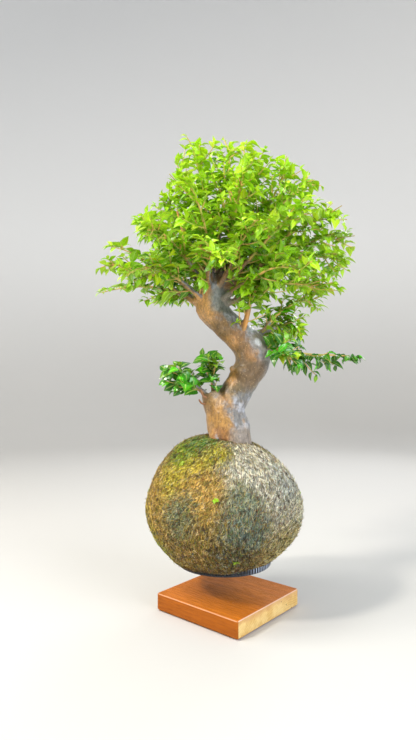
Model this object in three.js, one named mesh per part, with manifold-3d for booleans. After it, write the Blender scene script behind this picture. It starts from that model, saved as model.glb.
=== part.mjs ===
// A floating kokedama: an S-shaped privet bonsai rooted in a moss ball, carried by a magnet tray
// that hovers over a square wooden base with the levitation coils inside.
// Millimetres, +Z up. The origin is the middle of the base's underside, the hover axis is Z, and
// the tree's front faces -Y.
import * as THREE from "three";
import { mergeVertices } from "three/addons/utils/BufferGeometryUtils.js";
import Module from "manifold-3d";

const wasm = await Module();
wasm.setup();

// Driving dimensions
const CLEAR = 0.3; // between pieces that fit into or against each other
const BASE_SIDE = 100;
const BASE_TOP = 17; // height of the base's top face
const BASE_TURN = THREE.MathUtils.degToRad(49.6); // a corner points to the front
const HOVER_GAP = 29.4; // free air under the tray
const HOVER_X = -4; // the tray hovers a little to the left of the base's middle
const TRAY_RADIUS = 46;
const TRAY_HEIGHT = 5.7;
const TRAY_SHOWS = 3.7; // the part of the rim that the moss leaves bare
const BALL_RADIUS = 77.6; // across
const BALL_HALF_HEIGHT = 70.8;
const BALL_ROUNDNESS = 1.76; // exponent of the ball's outline: 2 is an ellipse, less is fuller in the middle
const BALL_CENTRE = new THREE.Vector3(-4.2, 0, 100);
const MOSS_DEPTH = 6;
const FOOT_BOTTOM = 138; // how deep the trunk stands in the root ball

const TRAY_BOTTOM = BASE_TOP + HOVER_GAP;
const MOSS_BOTTOM = TRAY_BOTTOM + TRAY_SHOWS;

// Colours, as seen on the object
const material = (color, roughness, metalness = 0) =>
  new THREE.MeshStandardMaterial({ color, roughness, metalness });
const BARK = material(0x9a7450, 0.75);
const LEAF = material(0x5da01e, 0.45);
const MOSS = material(0x6f6a35, 0.95);
const SOIL = material(0x3a2a1c, 1);
const TRAY_BLACK = material(0x17181c, 0.4);
const BASE_WOOD = material(0xb9692c, 0.5);
const RUBBER = material(0x202020, 0.9);
const COVER = material(0x2a2a2a, 0.7);
const STEEL = material(0xb8bcc0, 0.35, 1);
const MAGNET = material(0x8a8d92, 0.4, 1);
const FERRITE = material(0x3b3b3e, 0.7, 0.3);
const COPPER = material(0xb66a3c, 0.4, 1);
const BOARD = material(0x1f5a33, 0.6);

// A closed three.js geometry as a solid that can be joined and cut
function solid(geometry) {
  const bare = geometry.index ? geometry.toNonIndexed() : geometry.clone();
  for (const name of Object.keys(bare.attributes)) if (name !== "position") bare.deleteAttribute(name);
  const merged = mergeVertices(bare, 1e-4);
  const corners = merged.index.array;
  const kept = [];
  for (let i = 0; i < corners.length; i += 3) {
    const [a, b, c] = corners.subarray(i, i + 3);
    if (a !== b && b !== c && c !== a) kept.push(a, b, c);
  }
  return new wasm.Manifold(
    new wasm.Mesh({
      numProp: 3,
      vertProperties: merged.attributes.position.array,
      triVerts: new Uint32Array(kept),
    }),
  );
}

// A named mesh from a geometry or a solid
function piece(name, shape, finish) {
  let geometry = shape;
  if (!shape.isBufferGeometry) {
    const mesh = shape.getMesh();
    geometry = new THREE.BufferGeometry()
      .setAttribute("position", new THREE.BufferAttribute(new Float32Array(mesh.vertProperties), 3))
      .setIndex(new THREE.BufferAttribute(new Uint32Array(mesh.triVerts), 1));
    geometry.computeVertexNormals();
  }
  const made = new THREE.Mesh(geometry, finish);
  made.name = name;
  return made;
}

// Simple solids, placed by their middle or their lower face
function block(width, depth, bottom, top, x = 0, y = 0) {
  return new THREE.BoxGeometry(width, depth, top - bottom).translate(x, y, (bottom + top) / 2);
}

function rod(radius, bottom, top, x = 0, y = 0, sides = 24) {
  return new THREE.CylinderGeometry(radius, radius, top - bottom, sides)
    .rotateX(Math.PI / 2)
    .translate(x, y, (bottom + top) / 2);
}

// A body of revolution about Z from [radius, height] pairs, listed upwards on the outside
function turned(profile, sides) {
  const points = profile.map(([r, z]) => new THREE.Vector2(r, z));
  return new THREE.LatheGeometry(points, sides).rotateX(Math.PI / 2);
}

function ring(inner, outer, bottom, top, sides = 32) {
  return turned(
    [
      [inner, bottom],
      [outer, bottom],
      [outer, top],
      [inner, top],
      [inner, bottom],
    ],
    sides,
  );
}

// The base: a wooden block, hollow from below, closed by a plate on four screws
const PAD_TOP = 0.8;
const UNDERSIDE = PAD_TOP + CLEAR; // of the wooden block and its plate
const EDGE_RADIUS = 2;
const TOP_BEVEL = 0.8;
const CAVITY_SIDE = 84;
const CAVITY_TOP = 13.2;
const POST = 10; // side of the square screw posts in the cavity's corners
const RABBET_SIDE = 88;
const PLATE_TOP = 2.8;
const SCREW_PITCH = CAVITY_SIDE / 2 - POST / 2;
const BOARD_BOTTOM = PLATE_TOP + CLEAR;
const BOARD_TOP = BOARD_BOTTOM + 1.6;
const PARTS_BOTTOM = BOARD_TOP + CLEAR; // of what stands on the board
const JACK_X = 26;
const JACK_WIDTH = 9;
const JACK_DEPTH = 11;
const JACK_HEIGHT = 8;
const JACK_AXIS_Z = PARTS_BOTTOM + JACK_HEIGHT / 2;
const PLUG_HOLE_RADIUS = 4.2;

const SCREW_PLACES = [
  [1, 1],
  [-1, 1],
  [-1, -1],
  [1, -1],
].map(([x, y]) => [x * SCREW_PITCH, y * SCREW_PITCH]);

function baseBlock() {
  const half = BASE_SIDE / 2 - TOP_BEVEL;
  const r = EDGE_RADIUS - TOP_BEVEL / 2;
  const outline = new THREE.Shape()
    .moveTo(-half + r, -half)
    .lineTo(half - r, -half)
    .absarc(half - r, -half + r, r, -Math.PI / 2, 0)
    .lineTo(half, half - r)
    .absarc(half - r, half - r, r, 0, Math.PI / 2)
    .lineTo(-half + r, half)
    .absarc(-half + r, half - r, r, Math.PI / 2, Math.PI)
    .lineTo(-half, -half + r)
    .absarc(-half + r, -half + r, r, Math.PI, Math.PI * 1.5);
  const body = new THREE.ExtrudeGeometry(outline, {
    depth: BASE_TOP - UNDERSIDE - 2 * TOP_BEVEL,
    bevelThickness: TOP_BEVEL,
    bevelSize: TOP_BEVEL,
    bevelSegments: 1,
    curveSegments: 2,
  }).translate(0, 0, UNDERSIDE + TOP_BEVEL);
  let cavity = solid(block(CAVITY_SIDE, CAVITY_SIDE, 0, CAVITY_TOP));
  for (const [x, y] of SCREW_PLACES) cavity = cavity.subtract(solid(block(POST, POST, -1, BASE_TOP, x, y)));
  let made = solid(body)
    .subtract(cavity)
    .subtract(solid(block(RABBET_SIDE, RABBET_SIDE, -1, PLATE_TOP + CLEAR)));
  for (const [x, y] of SCREW_PLACES) made = made.subtract(solid(rod(1.5, 0, 9, x, y, 8)));
  const plugHole = new THREE.CylinderGeometry(PLUG_HOLE_RADIUS, PLUG_HOLE_RADIUS, 14, 20).translate(
    JACK_X,
    BASE_SIDE / 2,
    JACK_AXIS_Z,
  );
  return made.subtract(solid(plugHole));
}

function basePlate() {
  const side = RABBET_SIDE - 2 * CLEAR;
  let made = solid(block(side, side, UNDERSIDE, PLATE_TOP));
  for (const [x, y] of SCREW_PLACES) {
    made = made.subtract(solid(rod(1.6, 0, 4, x, y, 8))).subtract(solid(rod(3.2, 0, 2.2, x, y, 12)));
  }
  return made;
}

function screw(x, y) {
  const head = rod(2.7, UNDERSIDE, 1.9, x, y, 12);
  const shank = rod(1.2, 1.5, 8.5, x, y, 8);
  return solid(head).add(solid(shank));
}

// The inlet for the barrel plug, open through the block's wall at the back
function powerJack() {
  const back = CAVITY_SIDE / 2 - CLEAR;
  const top = PARTS_BOTTOM + JACK_HEIGHT;
  const body = block(JACK_WIDTH, JACK_DEPTH, PARTS_BOTTOM, top, JACK_X, back - JACK_DEPTH / 2);
  const bore = new THREE.CylinderGeometry(3.15, 3.15, 18, 16).translate(JACK_X, back, JACK_AXIS_Z);
  const pin = new THREE.CylinderGeometry(1, 1, 9, 8).translate(JACK_X, back - 5.5, JACK_AXIS_Z);
  return solid(body).subtract(solid(bore)).add(solid(pin));
}

const COIL_PITCH = 15;
const COIL_RADIUS = 7.5;
const MAGNET_TOP = PARTS_BOTTOM + 7;

function levitationBase() {
  const group = new THREE.Group();
  group.rotation.z = BASE_TURN;
  const boardSide = CAVITY_SIDE - 2 * CLEAR;
  const notch = POST + 2 * CLEAR;
  let board = solid(block(boardSide, boardSide, BOARD_BOTTOM, BOARD_TOP));
  for (const [x, y] of SCREW_PLACES) {
    board = board.subtract(solid(block(notch, notch, 0, BASE_TOP, x, y)));
  }
  group.add(
    piece("base_block", baseBlock(), BASE_WOOD),
    piece("base_plate", basePlate(), COVER),
    piece("base_pad", block(92, 92, 0, PAD_TOP), RUBBER),
    piece("circuit_board", board, BOARD),
    piece("ring_magnet", ring(25, 34, PARTS_BOTTOM, MAGNET_TOP, 28), FERRITE),
    piece("hall_sensor", block(4, 3, PARTS_BOTTOM, PARTS_BOTTOM + 1.5), COVER),
    piece("power_jack", powerJack(), COVER),
  );
  SCREW_PLACES.forEach(([x, y], i) => group.add(piece(`screw_${i + 1}`, screw(x, y), STEEL)));
  for (let i = 0; i < 4; i++) {
    const angle = (i * Math.PI) / 2;
    const coil = ring(2.5, COIL_RADIUS, PARTS_BOTTOM, MAGNET_TOP, 16);
    coil.translate(COIL_PITCH * Math.cos(angle), COIL_PITCH * Math.sin(angle), 0);
    group.add(piece(`coil_${i + 1}`, coil, COPPER));
  }
  return group;
}

// The tray that carries the ball, and the disc magnet in it
function magnetTray() {
  const floor = TRAY_BOTTOM + 1.5;
  const lip = TRAY_BOTTOM + TRAY_HEIGHT;
  return turned(
    [
      [0, TRAY_BOTTOM],
      [TRAY_RADIUS - 0.6, TRAY_BOTTOM],
      [TRAY_RADIUS, TRAY_BOTTOM + 0.6],
      [TRAY_RADIUS, lip],
      [TRAY_RADIUS - 2.3, lip],
      [TRAY_RADIUS - 2.3, floor],
      [0, floor],
    ],
    44,
  ).translate(HOVER_X, 0, 0);
}

// The moss ball. It is fullest at the upper left, beside the trunk, and lumpy all over.
const BULGE_AT = new THREE.Vector3(-0.55, 0, 0.83).normalize();
const BULGE = 0.1;
const BULGE_WIDTH = 0.12;
const LUMP = 0.7;

function ballRadius(way, inset) {
  const across = Math.hypot(way.x, way.y) / (BALL_RADIUS - inset);
  const up = Math.abs(way.z) / (BALL_HALF_HEIGHT - inset);
  const round = (across ** BALL_ROUNDNESS + up ** BALL_ROUNDNESS) ** (-1 / BALL_ROUNDNESS);
  return round * (1 + BULGE * Math.exp(-(1 - way.dot(BULGE_AT)) / BULGE_WIDTH));
}

function lumps(way) {
  return (
    Math.sin(9 * way.x + 4 * way.z) * Math.cos(8 * way.y - 3 * way.z) +
    0.6 * Math.sin(17 * way.x - 13 * way.y) * Math.cos(15 * way.z + 2)
  );
}

function ball(inset, around, rows) {
  const geometry = new THREE.SphereGeometry(1, around, rows).rotateX(Math.PI / 2);
  const places = geometry.attributes.position;
  const way = new THREE.Vector3();
  for (let i = 0; i < places.count; i++) {
    way.fromBufferAttribute(places, i).normalize();
    const relief = inset > 0 ? 0 : LUMP * lumps(way);
    way.multiplyScalar(ballRadius(way, inset) + relief).add(BALL_CENTRE);
    places.setXYZ(i, way.x, way.y, way.z);
  }
  return solid(geometry);
}

function curve(stations) {
  const points = stations.map(([x, y, z]) => new THREE.Vector3(x, y, z));
  return new THREE.CatmullRomCurve3(points, false, "centripetal");
}

// A tube through stations [x, y, z, radius], closed at both ends by flat faces.
// flute makes its section uneven, as a grown stem's is.
function limb(stations, sides, steps, flute = 0) {
  const line = curve(stations);
  const rings = (stations.length - 1) * steps;
  const frames = [];
  const normal = new THREE.Vector3(0.2, 1, 0.1);
  for (let i = 0; i <= rings; i++) {
    const t = i / rings;
    const along = line.getTangent(t);
    normal.addScaledVector(along, -normal.dot(along)).normalize();
    const span = Math.min(Math.floor(t * (stations.length - 1)), stations.length - 2);
    const share = t * (stations.length - 1) - span;
    const radius = THREE.MathUtils.lerp(stations[span][3], stations[span + 1][3], share);
    frames.push({
      at: line.getPoint(t),
      normal: normal.clone(),
      side: normal.clone().cross(along),
      radius,
    });
  }
  const geometry = new THREE.CylinderGeometry(1, 1, 1, sides, rings);
  const places = geometry.attributes.position;
  const point = new THREE.Vector3();
  for (let i = 0; i < places.count; i++) {
    point.fromBufferAttribute(places, i);
    const frame = frames[Math.round((point.y + 0.5) * rings)];
    const angle = Math.atan2(point.z, point.x);
    const swell = Math.sin(3 * angle + frame.at.z / 14) + 0.7 * Math.cos(2 * angle - frame.at.z / 23);
    const uneven = 1 + flute * swell;
    const out = frame.at
      .clone()
      .addScaledVector(frame.normal, point.x * frame.radius * uneven)
      .addScaledVector(frame.side, point.z * frame.radius * uneven);
    places.setXYZ(i, out.x, out.y, out.z);
  }
  return solid(geometry);
}

const TRUNK_SIDES = 15;
const FLUTE = 0.035;

// Every tube is listed as stations [x, y, z, radius], from its root to its end
const TRUNK = [
  [3, 0, FOOT_BOTTOM, 18],
  [3.5, 0, 163, 19.6],
  [-1, 0, 181, 20],
  [-2, 0, 195, 19],
  [5, 0, 209, 15.5],
  [12, 0, 221, 14.6],
  [19, 0, 233, 15.4],
  [24.5, 0, 246, 17.6],
  [20, 0, 260, 16.4],
  [8, 0, 272, 14.8],
  [-5, 0, 284.5, 14.2],
  [-16.5, 0, 298, 15.8],
  [-17.2, 0, 310, 14.6],
  [-15.2, 0, 322, 12.6],
  [-14.4, 0, 331, 11],
];
const CUT_STUB = [
  [-3, 0, 186, 15],
  [-12, -1, 201, 12.6],
  [-17.5, -1, 213.5, 9.6],
];
const TOP_STUBS = [
  [
    [-20, -3, 320, 6.5],
    [-23, -4, 331, 5],
    [-24, -5, 341, 3.6],
  ],
  [
    [-10, 1, 322, 8],
    [-8, 2, 333, 7],
    [-5, 3, 344, 5.4],
  ],
];
const BARK_KNOBS = [
  [13, -12, 234, 4.5],
  [-9, -11, 291, 4.5],
  [30, -12, 262, 4.5],
  [-30, -4, 305, 5],
  [12, 12, 190, 5],
  [22, 13, 250, 5],
];

// The branches, each listed as its girth at the root and its points [x, y, z] out to the tip.
// The first part of each is brown wood and belongs to the trunk, and the rest is a leafy shoot.
const BRANCHES = [
  // Left side, low to high
  {
    girth: 6,
    path: [[-24, 0, 298], [-36, 2, 306], [-47, 4, 312], [-59, 7, 317], [-80, 11, 321], [-108, 14, 320],
      [-137, 16, 314]],
  },
  {
    girth: 2.8,
    path: [[-46, 3, 311], [-60, -4, 321], [-70, -8, 327], [-90, -14, 334], [-110, -17, 338], [-131, -18, 333]],
  },
  {
    girth: 3.6,
    path: [[-34, 2, 304], [-46, 10, 322], [-62, 16, 336], [-84, 18, 349], [-104, 18, 359], [-127, 16, 365]],
  },
  {
    girth: 5,
    path: [[-22, 0, 322], [-34, -2, 340], [-44, -3, 352], [-60, -5, 365], [-76, -8, 377], [-93, -10, 385]],
  },
  {
    girth: 5,
    path: [[-20, 4, 324], [-30, 8, 346], [-38, 10, 364], [-49, 12, 385], [-58, 12, 402], [-68, 10, 417]],
  },
  // Crown
  {
    girth: 5,
    path: [[-18, 3, 326], [-24, 8, 354], [-29, 9, 380], [-37, 10, 406], [-46, 9, 430], [-55, 6, 453]],
  },
  {
    girth: 5,
    path: [[-15, -3, 326], [-18, -4, 358], [-21, -6, 388], [-25, -8, 414], [-28, -9, 440], [-29, -10, 466]],
  },
  {
    girth: 4.5,
    path: [[-11, -4, 328], [-9, -12, 358], [-7, -18, 384], [-4, -22, 408], [0, -24, 432], [3, -24, 455]],
  },
  {
    girth: 5,
    path: [[-9, 3, 328], [2, 10, 354], [11, 14, 380], [18, 17, 404], [25, 17, 430], [31, 15, 454]],
  },
  // Right side, high to low
  {
    girth: 5,
    path: [[-8, -2, 322], [12, -4, 348], [29, -4, 378], [42, -4, 402], [53, -4, 424], [63, -5, 445]],
  },
  {
    girth: 3.2,
    path: [[12, -4, 348], [34, -12, 374], [44, -16, 389], [60, -20, 404], [74, -22, 416], [90, -24, 419]],
  },
  {
    girth: 5.5,
    path: [[-6, 2, 320], [16, 6, 338], [38, 8, 356], [53, 8, 367], [74, 8, 380], [94, 6, 391], [117, 4, 393]],
  },
  {
    girth: 3,
    path: [[16, 6, 338], [40, 18, 350], [56, 24, 357], [78, 28, 366], [101, 28, 375], [124, 25, 371]],
  },
  {
    girth: 5,
    path: [[-6, -4, 314], [16, -8, 326], [37, -12, 337], [62, -14, 345], [90, -13, 347], [122, -10, 341]],
  },
  {
    girth: 5,
    path: [[-8, -5, 298], [12, -14, 306], [27, -19, 312], [46, -22, 318], [69, -22, 318], [93, -20, 311]],
  },
  // From the knee
  {
    girth: 5,
    path: [[6, -6, 272], [16, -13, 284], [20, -17, 298], [27, -24, 314], [37, -31, 326], [50, -37, 334]],
  },
  {
    girth: 8,
    path: [[20, 0, 262], [34, 2, 274], [44, 4, 286], [55, 6, 296], [67, 7, 303], [79, 7, 306], [91, 6, 302]],
  },
  {
    girth: 3.6,
    path: [[34, 2, 274], [46, 12, 278], [53, 16, 281], [63, 19, 283], [72, 20, 280], [80, 20, 271]],
  },
  {
    girth: 6,
    path: [[28, 0, 256], [44, 4, 257], [59, 6, 255], [82, 8, 252], [110, 8, 251], [138, 7, 249]],
  },
  {
    girth: 5,
    path: [[28, -3, 254], [43, -9, 255], [50, -12, 253], [57, -15, 249], [64, -18, 243], [71, -20, 236]],
  },
  {
    girth: 5,
    path: [[26, 8, 262], [36, 23, 270], [43, 33, 275], [54, 47, 280], [65, 60, 280], [75, 72, 273]],
  },
  // Towards the viewer
  {
    girth: 5,
    path: [[-20, -6, 316], [-34, -22, 332], [-43, -34, 343], [-55, -51, 354], [-66, -68, 358], [-77, -84, 352]],
  },
  {
    girth: 5,
    path: [[-16, -6, 324], [-20, -26, 350], [-23, -39, 368], [-29, -56, 385], [-36, -72, 395], [-44, -87, 394]],
  },
  {
    girth: 5,
    path: [[-10, -6, 324], [-1, -24, 352], [4, -35, 376], [9, -48, 398], [13, -61, 413], [17, -75, 420]],
  },
  {
    girth: 5,
    path: [[-10, -6, 316], [2, -28, 336], [9, -43, 350], [17, -63, 361], [23, -83, 363], [28, -102, 355]],
  },
  {
    girth: 5,
    path: [[-6, -5, 318], [16, -22, 338], [30, -33, 352], [45, -46, 367], [59, -58, 377], [74, -69, 377]],
  },
  {
    girth: 5,
    path: [[-8, -6, 304], [12, -28, 316], [24, -40, 322], [38, -54, 327], [52, -67, 325], [65, -79, 315]],
  },
  {
    girth: 5,
    path: [[-22, -6, 302], [-40, -21, 316], [-52, -31, 324], [-68, -43, 329], [-83, -53, 327], [-97, -61, 317]],
  },
  {
    girth: 4.5,
    path: [[-17, -7, 312], [-20, -28, 325], [-19, -42, 333], [-17, -61, 339], [-14, -80, 338], [-11, -98, 328]],
  },
  // Away from the viewer
  {
    girth: 5,
    path: [[-18, 6, 314], [-34, 24, 332], [-44, 36, 344], [-58, 53, 356], [-71, 69, 361], [-83, 84, 355]],
  },
  {
    girth: 5,
    path: [[-15, 6, 322], [-20, 28, 352], [-25, 41, 372], [-33, 57, 391], [-42, 72, 403], [-52, 86, 403]],
  },
  {
    girth: 5,
    path: [[-10, 6, 324], [0, 28, 356], [5, 40, 378], [11, 53, 402], [16, 66, 420], [21, 79, 430]],
  },
  {
    girth: 5,
    path: [[-6, 6, 318], [18, 26, 344], [34, 38, 362], [49, 50, 382], [64, 61, 396], [80, 71, 400]],
  },
  {
    girth: 5,
    path: [[-8, 6, 308], [16, 30, 322], [32, 43, 332], [50, 57, 341], [69, 69, 343], [87, 80, 335]],
  },
  {
    girth: 5,
    path: [[-14, 7, 312], [-8, 34, 330], [-4, 49, 341], [1, 69, 351], [5, 89, 352], [9, 107, 342]],
  },
  {
    girth: 5,
    path: [[-22, 6, 304], [-38, 28, 314], [-46, 42, 318], [-57, 58, 321], [-67, 73, 318], [-76, 86, 309]],
  },
  // On the cut stub beside the trunk
  {
    girth: 3.4,
    path: [[-18, -3, 208], [-25, -5, 214], [-30, -6, 218], [-41, -8, 226], [-53, -9, 233], [-67, -10, 234]],
  },
  {
    girth: 3,
    path: [[-14, 1, 210], [-15, 0, 219], [-15.5, 0, 224], [-17, -1, 233], [-15, -3, 242], [-12, -4, 250]],
  },
];
const BROWN_SHARE = 0.36; // of a branch's length
const TWIG_RADIUS = 1.9; // where the brown wood ends

// Leaves
const LEAF_LENGTH = 15.5;
const LEAF_HALF_WIDTH = 0.28; // this and the shares below are of the leaf's length
const LEAF_WIDEST = 0.42;
const LEAF_FOLD = 0.1; // how far the edges stand over the middle
const LEAF_DROOP = 0.3;
const LEAF_ROLL = 0.12;
const LEAF_LEAN = THREE.MathUtils.degToRad(56); // from the stem
const LEAF_SPACING = 10; // between pairs along a shoot
const TIP_LENGTH = 0.8 * LEAF_LENGTH; // of the leaf that ends a shoot
const LEAF_TRIES = 8;
const LEAF_SEED = 20471;
const NECK = 0.6; // half the width of a leaf's stalk
const STEM_HALF_WIDTH = [1.2, 0.7]; // at a shoot's root and at its tip
const SHOOT_THICKNESS = 0.8;

// A seeded source of numbers from 0 to 1
function numbers(seed) {
  let state = seed;
  return () => {
    state = (state * 1664525 + 1013904223) % 4294967296;
    return state / 4294967296;
  };
}

// A branch as a line, with the length of its brown wood and of its shoot's stem
function branchLine({ girth, path }, i) {
  const line = new THREE.CatmullRomCurve3(path.map((p) => new THREE.Vector3(...p)), false, "centripetal");
  const length = line.getLength();
  const start = BROWN_SHARE * length + CLEAR;
  const steep = Math.abs(line.getTangentAt(0.7).z);
  const twist = (i % 2 ? 1 : -1) * THREE.MathUtils.lerp(0.3, 1.6, steep);
  return { girth, line, length, start, reach: length - start - TIP_LENGTH, twist };
}

// The brown wood of a branch as a tapering limb
function twig({ girth, line }) {
  const stations = [0, 0.5, 1].map((share) => {
    const { x, y, z } = line.getPointAt(BROWN_SHARE * share);
    return [x, y, z, THREE.MathUtils.lerp(girth, TWIG_RADIUS, share ** 0.7)];
  });
  return limb(stations, 5, 1);
}

// A shoot is drawn flat first, with u along its stem and v across it, and then laid along its branch.
// Each point of the sheet keeps the place on the stem that it hangs on and its lift off the sheet.
// The sheet's faces are triangles that turn left, and they are the same above and below.
const onStem = (u, v) => ({ u, v, base: u, lift: 0 });

// Adds a blade to a sheet, folded along its middle, between its stalk's two points
function addBlade(sheet, [back, front], corners, side) {
  const edge = sheet.points.push(...corners) - corners.length;
  const [tip, farEdge] = [edge + 1, edge + 2];
  const faces = [
    [back, tip, edge],
    [back, front, tip],
    [front, farEdge, tip],
  ];
  sheet.faces.push(...(side > 0 ? faces : faces.map((face) => face.toReversed())));
}

// The corners of a leaf: the middle of its back edge, its tip and the middle of its front edge
function leafCorners({ u, half, side, size, roll, droop }) {
  const length = LEAF_LENGTH * size;
  const corner = (along, across, lift) => ({
    u: u + length * (along * Math.cos(LEAF_LEAN) - across * Math.sin(LEAF_LEAN)),
    v: side * (half + length * (along * Math.sin(LEAF_LEAN) + across * Math.cos(LEAF_LEAN))),
    base: u,
    lift: length * lift,
  });
  return [
    corner(LEAF_WIDEST, LEAF_HALF_WIDTH, LEAF_FOLD + roll),
    corner(1, 0, -droop),
    corner(LEAF_WIDEST, -LEAF_HALF_WIDTH, LEAF_FOLD - roll),
  ];
}

// The same for the smaller leaf at a shoot's tip
function tipCorners({ reach }) {
  const width = LEAF_HALF_WIDTH * TIP_LENGTH;
  const corner = (along, v, lift) => ({ u: reach + along * TIP_LENGTH, v, base: reach, lift });
  return [corner(LEAF_WIDEST, width, 1.5), corner(1, 0, -2.5), corner(LEAF_WIDEST, -width, 1.5)];
}

// A blade by itself, as far as its stalk
function bladeSheet(stalk, corners, side) {
  const sheet = { points: [...stalk], faces: [] };
  addBlade(sheet, [0, 1], corners, side);
  return sheet;
}

function leafSheet(leaf) {
  const { u, half, side } = leaf;
  return bladeSheet([onStem(u - NECK, side * half), onStem(u + NECK, side * half)], leafCorners(leaf), side);
}

function tipSheet(branch) {
  const half = STEM_HALF_WIDTH[1];
  return bladeSheet([onStem(branch.reach, half), onStem(branch.reach, -half)], tipCorners(branch), 1);
}

// A stem as a ladder of points, with a rung on each side of every pair of leaves
function stemSheet({ reach }, pairs) {
  const sheet = { points: [], faces: [] };
  const rungs = [0, ...pairs.flatMap(({ u }) => [u - NECK, u + NECK]), reach];
  rungs.forEach((u, i) => {
    const half = THREE.MathUtils.lerp(...STEM_HALF_WIDTH, u / reach);
    const left = sheet.points.push(onStem(u, half), onStem(u, -half)) - 2;
    if (i > 0) sheet.faces.push([left - 1, left + 1, left], [left - 1, left, left - 2]);
  });
  return sheet;
}

// The whole shoot: its stem, its leaves and the leaf at its tip
function shootSheet(branch, pairs, leaves) {
  const sheet = stemSheet(branch, pairs);
  for (const leaf of leaves) {
    const back = 2 * (1 + 2 * leaf.pair) + (leaf.side > 0 ? 0 : 1);
    addBlade(sheet, [back, back + 2], leafCorners(leaf), leaf.side);
  }
  const last = 4 * pairs.length + 2;
  addBlade(sheet, [last, last + 1], tipCorners(branch), 1);
  return sheet;
}

// A flat sheet laid along its branch as a thin solid
function laid({ points, faces }, { line, length, start, reach, twist }) {
  const count = points.length;
  const places = new Float32Array(6 * count);
  points.forEach(({ u, v, base, lift }, i) => {
    const share = Math.min(1, (start + base) / length);
    const along = line.getTangentAt(share);
    const up = new THREE.Vector3(0, 0, 1);
    const at = line.getPointAt(share);
    up.addScaledVector(new THREE.Vector3(-at.x, -at.y, 0).normalize(), 0.6);
    up.addScaledVector(along, -up.dot(along)).normalize().applyAxisAngle(along, (twist * base) / reach);
    const across = up.clone().cross(along);
    at.addScaledVector(along, u - base)
      .addScaledVector(across, v)
      .addScaledVector(up, lift + SHOOT_THICKNESS / 2);
    at.toArray(places, 3 * i);
    at.addScaledVector(up, -SHOOT_THICKNESS).toArray(places, 3 * (count + i));
  });
  const corners = [];
  const joined = new Set(faces.flatMap(([a, b, c]) => [`${a},${b}`, `${b},${c}`, `${c},${a}`]));
  for (const [a, b, c] of faces) {
    corners.push(a, b, c, count + c, count + b, count + a);
    for (const [from, to] of [[a, b], [b, c], [c, a]]) {
      if (joined.has(`${to},${from}`)) continue;
      corners.push(count + from, count + to, to, count + from, to, from);
    }
  }
  const geometry = new THREE.BufferGeometry().setIndex(corners);
  return solid(geometry.setAttribute("position", new THREE.BufferAttribute(places, 3)));
}

// The pairs of leaves that a shoot could carry along its stem, opposite each other
function leafPairs({ reach }) {
  const pairs = Math.max(3, Math.round(reach / LEAF_SPACING));
  return Array.from({ length: pairs }, (_, pair) => {
    const share = (pair + 0.3) / pairs;
    return { pair, share, u: share * reach, half: THREE.MathUtils.lerp(...STEM_HALF_WIDTH, share) };
  });
}

// A solid with its box, so that far pieces need no exact test
function boxed(shape) {
  const box = shape.boundingBox();
  return { shape, low: box.min, high: box.max };
}

function near(a, b, gap) {
  for (let k = 0; k < 3; k++) {
    if (a.low[k] > b.high[k] + gap || b.low[k] > a.high[k] + gap) return false;
  }
  return a.shape.minGap(b.shape, gap + 0.2) < gap;
}

// The leafy shoots: bare stems first, and then each one's leaves where they clear all that is there
function shoots(wood) {
  const lines = BRANCHES.map(branchLine);
  const pairs = lines.map(leafPairs);
  const stems = lines.map((branch, i) => boxed(laid(shootSheet(branch, pairs[i], []), branch)));
  const standing = [boxed(wood), ...stems];
  const random = numbers(LEAF_SEED);
  return lines.map((branch, i) => {
    const leaves = [];
    const grown = [boxed(laid(tipSheet(branch), branch))];
    for (const place of pairs[i].flatMap((pair) => [{ ...pair, side: 1 }, { ...pair, side: -1 }])) {
      const size = 0.86 + 0.22 * random() - 0.12 * place.share;
      const droop = LEAF_DROOP * random();
      for (let attempt = 0; attempt < LEAF_TRIES; attempt++) {
        const roll = LEAF_ROLL * (2 * random() - 1) * (1 + attempt / 3);
        const leaf = { ...place, size, roll, droop: droop * (1 - attempt / 4) };
        const alone = boxed(laid(leafSheet(leaf), branch));
        const blocked = standing.some((other) => other !== stems[i] && near(alone, other, CLEAR));
        if (blocked || grown.some((other) => near(alone, other, CLEAR))) continue;
        leaves.push(leaf);
        grown.push(alone);
        break;
      }
    }
    standing.push(...grown);
    const name = `shoot_${String(i + 1).padStart(2, "0")}`;
    return piece(name, laid(shootSheet(branch, pairs[i], leaves), branch), LEAF);
  });
}

function knob([x, y, z, radius]) {
  return solid(new THREE.SphereGeometry(radius, 8, 6).translate(x, y, z));
}

function wood() {
  return wasm.Manifold.union([
    limb(TRUNK, TRUNK_SIDES, 2, FLUTE),
    limb(CUT_STUB, 12, 2, 0.03),
    ...TOP_STUBS.map((s) => limb(s, 8, 1, 0.06)),
    ...BARK_KNOBS.map(knob),
    ...BRANCHES.map(branchLine).map(twig),
  ]);
}

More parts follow.
